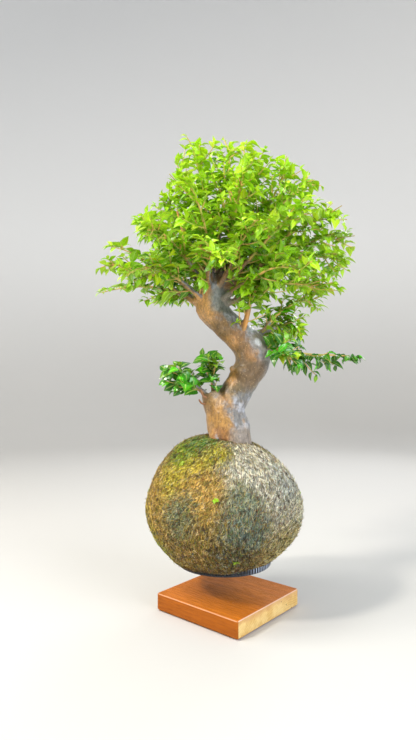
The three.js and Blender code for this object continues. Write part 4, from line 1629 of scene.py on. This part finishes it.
@dataclass(frozen=True)
class LeafForm:
    """One shape of leaf, one long, as shares of its length.

    Attributes:
        half_width: Half of its greatest width.
        fold: How far its edges stand over its middle.
        arch: How far its tip hangs.
        wave: How far its edges wave.
        twist: Turn of its tip about its length, in degrees.
    """

    half_width: float
    fold: float
    arch: float
    wave: float
    twist: float

    ROWS = (0.0, 0.09, 0.22, 0.4, 0.6, 0.81, 1.0)  # from the stalk to the tip
    WIDTHS = (0.09, 0.1, 0.7, 1.0, 0.86, 0.42, 0.03)
    THICKNESS = 0.02

    def model(self) -> Piece:
        """Shapes a grid row by row into a leaf and gives it its underside.

        Returns:
            The leaf, pointing along X with its upper side up.
        """
        segments = len(self.ROWS) - 1
        leaf = primitive(bpy.ops.mesh.primitive_grid_add, x_subdivisions=segments, y_subdivisions=2, size=2)
        edit(leaf, self.shape)
        edit(leaf, self.close)
        return leaf

    def shape(self) -> None:
        """Folds the whole blade, then narrows, turns and places each row."""
        segments = len(self.ROWS) - 1
        mesh = bmesh.from_edit_mesh(bpy.context.active_object.data)
        rows: list[set[int]] = [set() for _ in self.ROWS]
        for vertex in mesh.verts:
            rows[round((vertex.co.x + 1) / 2 * segments)].add(vertex.index)
        pick(Element.VERT, lambda place, _: abs(place.y) > 0.5)
        bpy.ops.transform.translate(value=(0, 0, self.fold / self.half_width))
        for number, (row, share) in enumerate(zip(rows, self.ROWS)):
            mesh = bmesh.from_edit_mesh(bpy.context.active_object.data)
            bpy.ops.mesh.select_all(action="DESELECT")
            for vertex in mesh.verts:
                vertex.select_set(vertex.index in row)
            bmesh.update_edit_mesh(bpy.context.active_object.data)
            here = -1 + 2 * number / segments
            width = self.WIDTHS[number] * self.half_width
            ripple = self.wave * (1 if number % 2 else -1)
            bpy.ops.transform.resize(value=(1, width, width * (1 + ripple)), center_override=(here, 0, 0))
            turn = math.radians(self.twist) * share
            bpy.ops.transform.rotate(value=turn, orient_axis="X", center_override=(here, 0, 0))
            drop = self.arch * (0.3 * share - share ** 2)
            shortened = share - 0.35 * self.arch * share ** 2
            bpy.ops.transform.translate(value=(shortened - here, 0, drop))
        weld(0.01)

    def close(self) -> None:
        """Turns a copy of the blade over and draws its middle down, so that the two meet at the edge."""
        bpy.ops.mesh.select_all(action="SELECT")
        bpy.ops.mesh.duplicate()
        bpy.ops.mesh.flip_normals()
        mesh = bmesh.from_edit_mesh(bpy.context.active_object.data)
        for vertex in mesh.verts:
            vertex.select_set(vertex.select and not vertex.is_boundary)
        bmesh.update_edit_mesh(bpy.context.active_object.data)
        bpy.ops.transform.translate(value=(0, 0, -self.THICKNESS))
        weld(1e-4)


@dataclass
class MossBall:
    """The felt of moss over the soil, its fibres and the small plants in it. Its sizes are in mm."""

    voxel: float = 1.6
    relief: tuple[tuple[float, float], ...] = ((16.0, 1.0), (4.5, 0.8), (1.8, 0.5))  # sizes and depths
    fibres: int = 78000
    pieces: int = 3
    length: tuple[float, float] = (2.6, 5.6)
    width: tuple[float, float] = (0.42, 0.85)
    inside: float = 58.0  # from the centre; what is nearer is the skin's inside
    bottom: float = 50.5  # height under which no fibre grows
    tuck: float = 5.0  # that the moss draws in over the tray's right side
    sprig: LeafForm = LeafForm(0.3, 0.08, 0.4, 0.2, 0)
    sprig_leaves: int = 7
    seed: int = 3107

    def build(self) -> None:
        """Makes the skin and then scatters fibres over it."""
        dress(["root_ball"], Soil())
        skin = self.skin()
        self.grow_fibres(skin)
        self.sprigs(skin)

    def skin(self) -> Piece:
        """Remeshes a copy of the moss solid and roughens it.

        Returns:
            The finished skin.
        """
        skin = merged_copy("moss")
        modify(skin, "REMESH", mode="VOXEL", voxel_size=self.voxel * MM)
        modify(skin, "SMOOTH", factor=0.6, iterations=8)
        self.tuck_in(skin)
        roughen(skin, "moss", self.relief)
        settle(skin, "moss_felt", [MossFelt()], Body.PLANT, ["moss"])
        return skin

    def tuck_in(self, skin: Piece) -> None:
        """Draws the moss in over the tray's right side, so that its rim shows.

        Args:
            skin: The skin to change.
        """
        for vertex in skin.data.vertices:
            place = vertex.co / MM - BALL_CENTRE
            if place.xy.length > 44:
                low, right = 1 - clamped((place.z + 50) / 24), clamped((place.x + 6) / 22)
                vertex.co.xy -= place.xy.normalized() * (self.tuck * MM * low * right)

    def fibre(self) -> Piece:
        """Models one fibre.

        Returns:
            A three-sided needle, one long.
        """
        sizes = {"vertices": 3, "radius1": 0.5, "radius2": 0, "depth": 1}
        fibre = primitive(bpy.ops.mesh.primitive_cone_add, location=(0, 0, 0.5), **sizes)
        bpy.ops.object.transform_apply(location=True, rotation=True, scale=True)
        return fibre

    def lay(self, place: Vector, normal: Vector, luck: random.Random) -> Vector:
        """Gives the way that a fibre lies: combed up to the right, and turning slowly over the ball.

        Args:
            place: Its root, in mm.
            normal: The skin's.
            luck: Where its chance comes from.

        Returns:
            The way.
        """
        swirl = (
            math.sin(place.x * 0.042 + 1.1)
            + math.cos(place.z * 0.05 + place.y * 0.04)
            + math.sin(place.z * 0.02 - place.x * 0.03)
        )
        around = Vector((-normal.y, normal.x, 0))
        if around.length < 1e-3:
            around = Vector((1, 0, 0))
        around.normalize()
        angle = math.radians(62 + 15 * swirl) + luck.gauss(0, 0.32 if luck.random() < 0.6 else 1.0)
        if place.z < 56 and place.x < -16:
            angle = luck.gauss(-1.5, 0.35)  # hangs over the tray's rim
        return around * math.cos(angle) + normal.cross(around) * math.sin(angle)

    def placing(self, place: Vector, normal: Vector, luck: random.Random) -> Placing:
        """Sizes and places one fibre, and gives it its tone.

        Args:
            place: Its root, in metres.
            normal: The skin's.
            luck: Where its chance comes from.

        Returns:
            Its placing.
        """
        way = self.lay(place / MM, normal, luck)
        length = luck.uniform(*self.length) * MM
        width = luck.uniform(*self.width) * MM
        stray = luck.random() < (0.05 if place.x > 0.02 else 0.02)
        lift = luck.uniform(0.3, 0.9) if stray else luck.uniform(0, 0.2)
        along = (way + normal * lift).normalized()
        arch = square(normal, along)
        root = place - (way * length * 0.4 + normal * 0.05 * MM)
        matrix = stood(root, (arch * width, along.cross(arch) * width, along * length))
        clump = 0.5 + 0.9 * noise.noise(place / MM * 0.3)
        light = 0.3 * clump + 0.7 * luck.random()
        shade = 0.35 * (1 - clump) + 0.65 * luck.random()
        return Placing(matrix, (clamped(light), clamped(shade), luck.random()))

    def grow_fibres(self, skin: Piece) -> None:
        """Scatters the fibres evenly over the skin's outside.

        Args:
            skin: The felt that they grow from.
        """
        luck = random.Random(self.seed)
        mesh = skin.data
        mesh.calc_loop_triangles()
        corners = column(mesh.vertices, "co", 3)[column(mesh.loop_triangles, "vertices", 3, int)]
        crosses = np.cross(corners[:, 1] - corners[:, 0], corners[:, 2] - corners[:, 0])
        middles = corners.mean(axis=1)
        outward = middles - np.array(BALL_CENTRE * MM)
        facing = np.einsum("ij,ij->i", crosses, outward) > 0
        free = (np.linalg.norm(outward, axis=1) > self.inside * MM) & (middles[:, 2] > self.bottom * MM)
        area = np.where(facing & free, np.linalg.norm(crosses, axis=1), 0)
        chosen = np.random.default_rng(self.seed).choice(len(area), size=self.fibres, p=area / area.sum())
        placings = []
        for index in chosen:
            weights = np.array([luck.random() + 0.05 for _ in range(3)])
            place = Vector((corners[index] * (weights / weights.sum())[:, None]).sum(axis=0))
            outer = (place - BALL_CENTRE * MM).normalized()
            normal = (Vector(crosses[index]).normalized() + 2 * outer).normalized()
            placings.append(self.placing(place, normal, luck))
        master = self.fibre()
        share = math.ceil(len(placings) / self.pieces)
        for number in range(self.pieces):
            tuft = scattered(f"fibres_{number}", master, placings[number * share:(number + 1) * share])
            settle(tuft, f"moss_fibres_{number + 1}", [MossFibres()], Body.PLANT)
        bpy.data.objects.remove(master)

    def sprigs(self, skin: Piece) -> None:
        """Sets small bright rosettes into the moss.

        Args:
            skin: The felt that they stand in.
        """
        luck = random.Random(self.seed + 1)
        surface = BVHTree.FromObject(skin, bpy.context.evaluated_depsgraph_get())
        form = self.sprig.model()
        placings = []
        for way in SPRIG_WAYS:
            start = BALL_CENTRE * MM + Vector(way).normalized() * 0.2
            place, normal, _, _ = surface.ray_cast(start, -Vector(way))
            aside = normal.orthogonal().normalized()
            for number in range(self.sprig_leaves):
                turn = Matrix.Rotation(number * 2.4 + luck.random(), 3, normal)
                along = (turn @ aside + normal * luck.uniform(0.15, 1.1)).normalized()
                across = normal.cross(along).normalized()
                length = luck.uniform(2.6, 4.4) * MM
                matrix = stood(place, (along, across, along.cross(across)), length)
                placings.append(Placing(matrix, (luck.uniform(0, 0.35), luck.random(), 0.5)))
        settle(scattered("sprigs", form, placings), "moss_sprigs", [LeafSkin()], Body.PLANT)
        bpy.data.objects.remove(form)


class GrownLine:
    """The course of a branch: a centripetal Catmull-Rom curve through its points, in mm."""

    PER_SPAN = 24

    def __init__(self, path: Sequence[Sequence[float]]) -> None:
        """Samples the curve and measures it.

        Args:
            path: The points that the branch goes through.
        """
        knots = [Vector(point) for point in path]
        knots = [2 * knots[0] - knots[1], *knots, 2 * knots[-1] - knots[-2]]
        self.points: list[Vector] = []
        for before, first, second, after in zip(knots, knots[1:], knots[2:], knots[3:]):
            sides = (first - before, second - first, after - second)
            one, two, three = (math.sqrt(side.length) for side in sides)
            start = (first - before) / one - (second - before) / (one + two) + (second - first) / two
            end = (second - first) / two - (after - first) / (two + three) + (after - second) / three
            start, end = start * two, end * two
            for i in range(self.PER_SPAN):
                t = i / self.PER_SPAN
                self.points.append(
                    first + start * t
                    + (3 * (second - first) - 2 * start - end) * t ** 2
                    + (2 * (first - second) + start + end) * t ** 3
                )
        self.points.append(knots[-2])
        steps = [(b - a).length for a, b in zip(self.points, self.points[1:])]
        self.lengths = np.concatenate([[0.0], np.cumsum(steps)])
        self.length = float(self.lengths[-1])
        self.places = np.array(self.points)

    def at(self, share: float) -> Vector:
        """Gives the point at a share of the length."""
        target = clamped(share) * self.length
        return Vector([float(np.interp(target, self.lengths, self.places[:, axis])) for axis in range(3)])

    def along(self, share: float, step: float = 0.01) -> Vector:
        """Gives the direction at a share of the length."""
        return (self.at(min(1, share + step)) - self.at(max(0, share - step))).normalized()


@dataclass
class Trunk:
    """The trunk with its limbs, grown into one piece of wood, and the twigs that were cut back."""

    voxel: float = 1.05  # mm
    relief: tuple[tuple[float, float], ...] = ((24.0, 2.6), (9.0, 1.2), (3.0, 0.4))  # mm, sizes and depths
    step: float = 4.0  # mm between the points of the trunk's tube
    spans: int = 8  # of a limb
    slim: float = 0.74  # of a limb's girth at its root, before its collar blends in
    twig_spans: int = 11
    taper: float = 0.35  # of a cut twig's radius that is lost at its end

    def build(self) -> None:
        """Grows trunk, stubs and limbs together and finishes the wood."""
        parts = [tube("trunk", [self.run(TRUNK)], 12), tube("stubs", [self.run(stub) for stub in STUBS], 6)]
        parts.append(tube("limbs", [self.limb(girth, path) for girth, path in BRANCHES], 3))
        for centre, radius in KNOBS:
            parts.append(primitive(
                bpy.ops.mesh.primitive_ico_sphere_add, subdivisions=3, radius=radius * MM,
                location=Vector(centre) * MM,
            ))
        wood = joined(parts)
        modify(wood, "REMESH", mode="VOXEL", voxel_size=self.voxel * MM)
        modify(wood, "SMOOTH", factor=0.5, iterations=7)
        roughen(wood, "bark", self.relief)
        settle(wood, "trunk_and_limbs", [Bark()], Body.PLANT, ["trunk"])
        self.cut_twigs()

    def run(self, stations: Sequence[tuple[Point, float]]) -> Run:
        """Gives a tube's points and radii through stations.

        Args:
            stations: Points and radii.

        Returns:
            Points and radii close together on the smooth line.
        """
        line = GrownLine([centre for centre, _ in stations])
        knots = line.lengths[::GrownLine.PER_SPAN]
        shares = even(max(3, round(line.length / self.step)))
        given = [radius for _, radius in stations]
        radii = [float(np.interp(share * line.length, knots, given)) for share in shares]
        return [line.at(share) for share in shares], radii

    def limb(self, girth: float, path: Sequence[Point]) -> Run:
        """Gives the points and radii of a branch's brown wood.

        Args:
            girth: The solids' radius at its root.
            path: The branch's points.

        Returns:
            Points and radii.
        """
        line, shares = GrownLine(path), even(self.spans)
        extra = max(0, self.slim * girth - TWIG_RADIUS)
        radii = [TWIG_RADIUS + extra * (1 - share) ** 1.5 for share in shares]
        return [line.at(BROWN_SHARE * share) for share in shares], radii

    def cut_twigs(self) -> None:
        """Makes the bare twigs that end in a cut."""
        runs, shares = [], even(self.twig_spans)
        for radius, path in CUT_TWIGS:
            line = GrownLine(path)
            swell = [1 + 0.12 * math.cos(share * 17) for share in shares]
            radii = [radius * (1 - self.taper * share) * knot for share, knot in zip(shares, swell)]
            runs.append(([line.at(share) for share in shares], radii))
        twigs = tube("cut_twigs", runs, 2)
        smooth(twigs, 50)
        bark = Stem("twig bark", (0.80, 0.56, 0.28), (0.66, 0.52, 0.34))
        settle(twigs, "cut_twigs", [bark], Body.PLANT)


LEAF_FORMS = [
    LeafForm(0.22, 0.07, 0.35, 0.08, 6),
    LeafForm(0.21, 0.08, 0.50, 0.15, -14),
    LeafForm(0.20, 0.11, 0.42, 0.20, 20),
    LeafForm(0.24, 0.05, 0.62, 0.08, 8),
    LeafForm(0.26, 0.05, 0.45, 0.12, -8),
]

# The crown's outline from the front, in mm: height, left edge and right edge
OUTLINE = [
    (299, -140, 122),
    (375, -128, 126),
    (398, -90, 117),
    (414, -70, 93),
    (438, -56, 80),
    (462, -54, 50),
    (474, -48, -8),
]

# Places seen from the front, in mm, where no leaf hides the wood: across, height and radius
CLEARINGS = [
    (19, 284, 5),
    (21, 294, 5),
    (33, 279, 5),
    (42, 286, 4),
    (51, 292, 4),
    (-10, 300, 9),
    (-33, 303, 5),
    (-12, 317, 9),
    (-14, 331, 6),
]


@dataclass
class Ways:
    """Directions at a place on a stem: along it, across its spray and up from the spray."""

    along: Vector
    across: Vector
    up: Vector

    def turned(self, angle: float) -> "Ways":
        """Turns them about the stem."""
        turn = Matrix.Rotation(angle, 3, self.along)
        return Ways(self.along, turn @ self.across, turn @ self.up)


@dataclass
class Spray:
    """What one shoot carries: its stems' points and radii, and its leaves by form."""

    stems: list[Run]
    leaves: list[list[Placing]]


@dataclass
class Foliage:
    """All leafy shoots: stems, side twigs and leaves, in mm."""

    leaf_length: tuple[float, float] = (14.5, 19.5)
    spacing: float = 7.6  # between pairs on a shoot
    side_spacing: float = 6.8  # between pairs on a side twig
    side_length: tuple[float, float] = (15, 31)
    side_spans: int = 6
    tip_room: float = 8.0  # that the leaves at the tip take
    bare_root: float = 7.0  # of a branch, without inner twigs
    stem_radius: tuple[float, float] = (1.75, 0.45)
    stem_spans: int = 16
    margin: float = 1.5  # that a leaf may stand out of the solids' box
    clearance: float = 1.5  # between a leaf and the wood
    seed: int = 11
    skin: Finish = LeafSkin()
    bark: Finish = Stem("shoot bark", (0.88, 0.69, 0.40), (0.70, 0.72, 0.32))
    luck: random.Random = field(init=False)
    forms: list[Piece] = field(init=False)
    wood: BVHTree = field(init=False)  # the bare wood, which no leaf may touch
    count: int = field(default=0, init=False)  # of the leaves so far

    def build(self) -> None:
        """Grows each shoot as a piece of its own."""
        self.luck = random.Random(self.seed)
        self.forms = [form.model() for form in LEAF_FORMS]
        wood = merged_copy("trunk")
        self.wood = BVHTree.FromObject(wood, bpy.context.evaluated_depsgraph_get())
        bpy.data.objects.remove(wood)
        for index, (_, path) in enumerate(BRANCHES):
            self.grow(index, GrownLine(path))
        for form in self.forms:
            bpy.data.objects.remove(form)
        LOG.info("%d leaves in all", self.count)

    def ways(self, line: GrownLine, index: int, share: float) -> Ways:
        """Gives the spray's directions at a share of a branch, turned along it as in the solids.

        Args:
            line: The branch.
            index: Its number, which says which way it turns.
            share: The place on it.

        Returns:
            The directions there.
        """
        along, at = line.along(share), line.at(share)
        up = square(UP + Vector((-at.x, -at.y, 0)).normalized() * 0.6, along)
        twist = (1 if index % 2 else -1) * (0.3 + 1.3 * abs(line.along(0.7).z))
        progress = max(0.0, share - BROWN_SHARE) / (1 - BROWN_SHARE)
        return Ways(along, up.cross(along), up).turned(twist * progress)

    def grow(self, index: int, line: GrownLine) -> None:
        """Grows one shoot with its side twigs, and makes it a piece.

        Args:
            index: The branch's number, from 0.
            line: Its course.
        """
        spray = Spray([], [[] for _ in self.forms])
        first, last = BROWN_SHARE * 0.9, 1 - self.tip_room / line.length
        thick, thin = self.stem_radius
        shares = even(self.stem_spans)
        points = [line.at(first + (last - first) * share) for share in shares]
        spray.stems.append((points, [thick + (thin - thick) * share ** 0.7 for share in shares]))
        end = line.at(1)
        sparse = end.x < -118 or end.z < LOW
        fading = 0.8 if sparse else self.fading(end)
        reach = line.length * (last - BROWN_SHARE)
        pairs = max(3, round(reach / (self.spacing * (1.4 if sparse else 1.0))))
        for pair in range(pairs):
            progress = 1 - (1 - (pair + 0.3) / pairs) ** 1.3
            share = BROWN_SHARE + (last - BROWN_SHARE) * progress
            ways = self.ways(line, index, share)
            crossed = math.pi / 2 * (pair % 2) * abs(ways.along.z)
            self.pair(spray, line.at(share), ways.turned(crossed), 1.08 - 0.34 * progress, progress)
            size = 1 - fading * progress
            for turn in (0, math.pi, math.pi / 2 * self.luck.choice((1, -1))):
                if self.luck.random() < (0.76 if turn in (0, math.pi) else 0.5) * size:
                    self.side_twig(spray, line.at(share), ways.turned(turn + crossed), progress, size)
        self.tip(spray, line.at(last), self.ways(line, index, 1.0), 0.8)
        self.inner_twigs(spray, line, index)
        self.settle_spray(spray, f"{index + 1:02d}")

    def fading(self, end: Vector) -> float:
        """Gives how many of its side twigs a branch has lost at its tip.

        Args:
            end: The branch's tip.

        Returns:
            The share, most on the left, then inside, at the top and on the right.
        """
        if abs(end.x) > 80:
            return 0.55 if end.x < 0 else 0.15
        return 0.22 if end.z > 400 else 0.38

    def inner_twigs(self, spray: Spray, line: GrownLine, index: int) -> None:
        """Grows short leafy twigs on a branch's brown wood.

        Args:
            spray: What the shoot carries.
            line: The branch.
            index: Its number.
        """
        stub = line.at(0).x < 0 and line.at(0).z < LOW
        steps = max(2, round(line.length * BROWN_SHARE / (4 if stub else 5)))
        for step in range(1, steps + 1):
            share = BROWN_SHARE * step / steps
            if line.length * share < self.bare_root:
                continue
            for _ in range(3):
                ways = self.ways(line, index, share).turned(self.luck.uniform(0, 2 * math.pi))
                if self.side_twig(spray, line.at(share), ways, 0.0, self.luck.uniform(0.5, 0.9)):
                    break

    def side_twig(self, spray: Spray, root: Vector, ways: Ways, progress: float, size: float) -> bool:
        """Grows a side twig with a few pairs of leaves, where there is room for it.

        Args:
            spray: What the shoot carries.
            root: Where the twig leaves its stem.
            ways: Directions there: the twig leans out across the spray.
            progress: How far along the shoot it is.
            size: Its length as a share of the usual.

        Returns:
            Whether it grew.
        """
        luck, spans = self.luck, self.side_spans
        length = luck.uniform(*self.side_length) * size
        lean = math.radians(luck.uniform(35, 60))
        way = ways.along * math.cos(lean) + ways.across * math.sin(lean) + ways.up * luck.uniform(-0.1, 0.3)
        points = [root]
        for _ in range(spans):
            way = (way + UP * luck.uniform(-0.06, 0.12) + ways.along * 0.05).normalized()
            points.append(points[-1] + way * (length / spans))
        if any(self.blocked(point) for point in points[3:]):
            return False
        up = square(ways.up, way)
        here = Ways(way, up.cross(way), up)
        spray.stems.append((points, [0.75 - 0.06 * i for i in range(spans + 1)]))
        pairs = max(1, round(length / self.side_spacing))
        for pair in range(pairs):
            at = points[min(spans, round((pair + 0.75) / pairs * 5))]
            crossed = math.pi / 2 * (pair % 2) * abs(way.z)
            grown = luck.uniform(0.68, 0.98)
            self.pair(spray, at, here.turned(crossed), grown, max(progress, 0.75 * pair / pairs))
        self.tip(spray, points[-1], here, luck.uniform(0.5, 0.7))
        return True

    def pair(self, spray: Spray, at: Vector, ways: Ways, size: float, progress: float) -> None:
        """Adds two opposite leaves.

        Args:
            spray: What the shoot carries.
            at: The place on the stem.
            ways: Directions there.
            size: Share of a usual leaf.
            progress: How far out they are, which makes them younger.
        """
        for side in (1, -1):
            lean = math.radians(self.luck.uniform(48, 78))
            across = ways.turned(self.luck.gauss(0, 0.22)).across
            way = ways.along * math.cos(lean) + across * (side * math.sin(lean))
            way.z *= 0.75
            self.leaf(spray, at, way, ways, size * self.luck.uniform(0.82, 1.15), progress)

    def tip(self, spray: Spray, at: Vector, ways: Ways, size: float) -> None:
        """Adds the new leaves at a tip: one pair half open and a smaller pair that points on along the shoot,
        one of them upwards.

        Args:
            spray: What the shoot carries.
            at: The tip.
            ways: Directions there.
            size: Share of a usual leaf.
        """
        for side in (1, -1):
            way = ways.along * 0.75 + ways.across * (side * self.luck.uniform(0.5, 0.9))
            self.leaf(spray, at, way, ways, size * self.luck.uniform(0.75, 1.0), 1.15)
            way = ways.along + ways.up * (0.2 + side * 0.22) + ways.across * self.luck.uniform(-0.2, 0.2)
            self.leaf(spray, at, way, ways, size * 0.5, 1.3)

    def leaf(self, spray: Spray, at: Vector, way: Vector, ways: Ways, size: float, progress: float) -> None:
        """Adds one leaf where there is room for it.

        Args:
            spray: What the shoot carries.
            at: Its stalk's foot.
            way: The way that it points.
            ways: Directions of its stem.
            size: Share of a usual leaf.
            progress: How far out it is, which makes it younger.
        """
        luck = self.luck
        low = at.z < LOW
        broad = low and at.x < 0  # as on the stub's shoots
        way = (way.normalized() + UP * (-0.3 if low and at.x > 60 else 0.22)).normalized()
        length = luck.uniform(*self.leaf_length) * size * min(1, 1.08 + at.y * 0.0022)
        face = UP + ways.up * 0.4 + Vector((luck.gauss(0, 0.3), luck.gauss(0, 0.3) - (0.9 if low else 0), 0))
        face = square(face, way)
        if any(self.blocked(at + way * length * share) for share in (0.5, 1)):
            return
        length *= 1.1 if broad else 1.0
        width = length * luck.uniform(0.88, 1.15) * (1.35 if broad else 1.0)
        matrix = stood(at * MM, (way * length, face.cross(way) * width, face * length), MM)
        age = self.age(at, progress)
        tone = (age, luck.random() * (0.4 if low else 1), luck.random() * (0.9 if broad else 1))
        spray.leaves[luck.randrange(len(self.forms))].append(Placing(matrix, tone))

    def age(self, at: Vector, progress: float) -> float:
        """Gives a leaf's age: young far out and high up, old inside.

        Args:
            at: Its stalk's foot.
            progress: How far out it is.

        Returns:
            The age from 0 to 1, and up to 1.3 on the low shoots, whose raise is partly painted shade under
            the crown.
        """
        high, low = clamped((at.z - 320) / 130), clamped((272 - at.z) / 16)
        age = 0.74 - 0.48 * progress * (1 - 0.6 * low) - 0.34 * high + (0.65 if at.x > 60 else 0.42) * low
        return clamped(age + self.luck.gauss(0, 0.18), high=1 + 0.3 * low)

    def settle_spray(self, spray: Spray, name: str) -> None:
        """Makes one piece of a shoot's stems and leaves.

        Args:
            spray: What the shoot carries.
            name: Its two digits.
        """
        parts = [tube(f"stems_{name}", spray.stems, 1)]
        parts[0].data.materials.clear()
        parts[0].data.materials.append(self.bark.material())
        for form, places in zip(self.forms, spray.leaves):
            if places:
                leaves = scattered("leaves", form, places)
                leaves.data.materials.append(self.skin.material())
                parts.append(leaves)
                self.count += len(places)
        shoot = joined(parts)
        smooth(shoot, 50)
        settle(shoot, f"leafy_shoot_{name}", [self.bark, self.skin], Body.PLANT, [f"shoot_{name}"])

    def clipped(self, point: Vector) -> bool:
        """Looks from the front whether a point is out of the crown's outline or hides bare wood.

        Args:
            point: The point.

        Returns:
            Whether it is or does.
        """
        seen = EYE + (point - EYE) * (-EYE.y / (point.y - EYE.y))
        if point.y < 0 and any(math.hypot(seen.x - x, seen.z - z) < radius for x, z, radius in CLEARINGS):
            return True
        seen.x *= 1 + 0.12 * noise.noise(point * 0.08)
        heights, lefts, rights = zip(*OUTLINE)
        if seen.z <= heights[0]:
            return seen.x < 0 and (seen.z > 264 or seen.x > -3)
        left, right = np.interp(seen.z, heights, lefts), np.interp(seen.z, heights, rights)
        return seen.z > heights[-1] or not left < seen.x < right

    def blocked(self, point: Vector) -> bool:
        """Looks whether a point is in the wood, outside the solids' box or out of the crown's outline.

        Args:
            point: The point.

        Returns:
            Whether it is.
        """
        if self.clipped(point):
            return True
        for value, low, high in zip(point, *CAD_BOX):
            if not low / MM - self.margin < value < high / MM + self.margin:
                return True
        place, normal, _, distance = self.wood.find_nearest(point * MM)
        return distance < self.clearance * MM or (point * MM - place).dot(normal) < 0


def main() -> None:
    """Builds the scene piece by piece."""
    logging.basicConfig(level=logging.INFO, format="%(name)s: %(message)s")
    for part in (Studio(), WoodenBase(), MagnetTray(), MossBall(), Trunk(), Foliage()):
        part.build()
        LOG.info("%s is done", type(part).__name__)


if __name__ == "__main__":
    main()
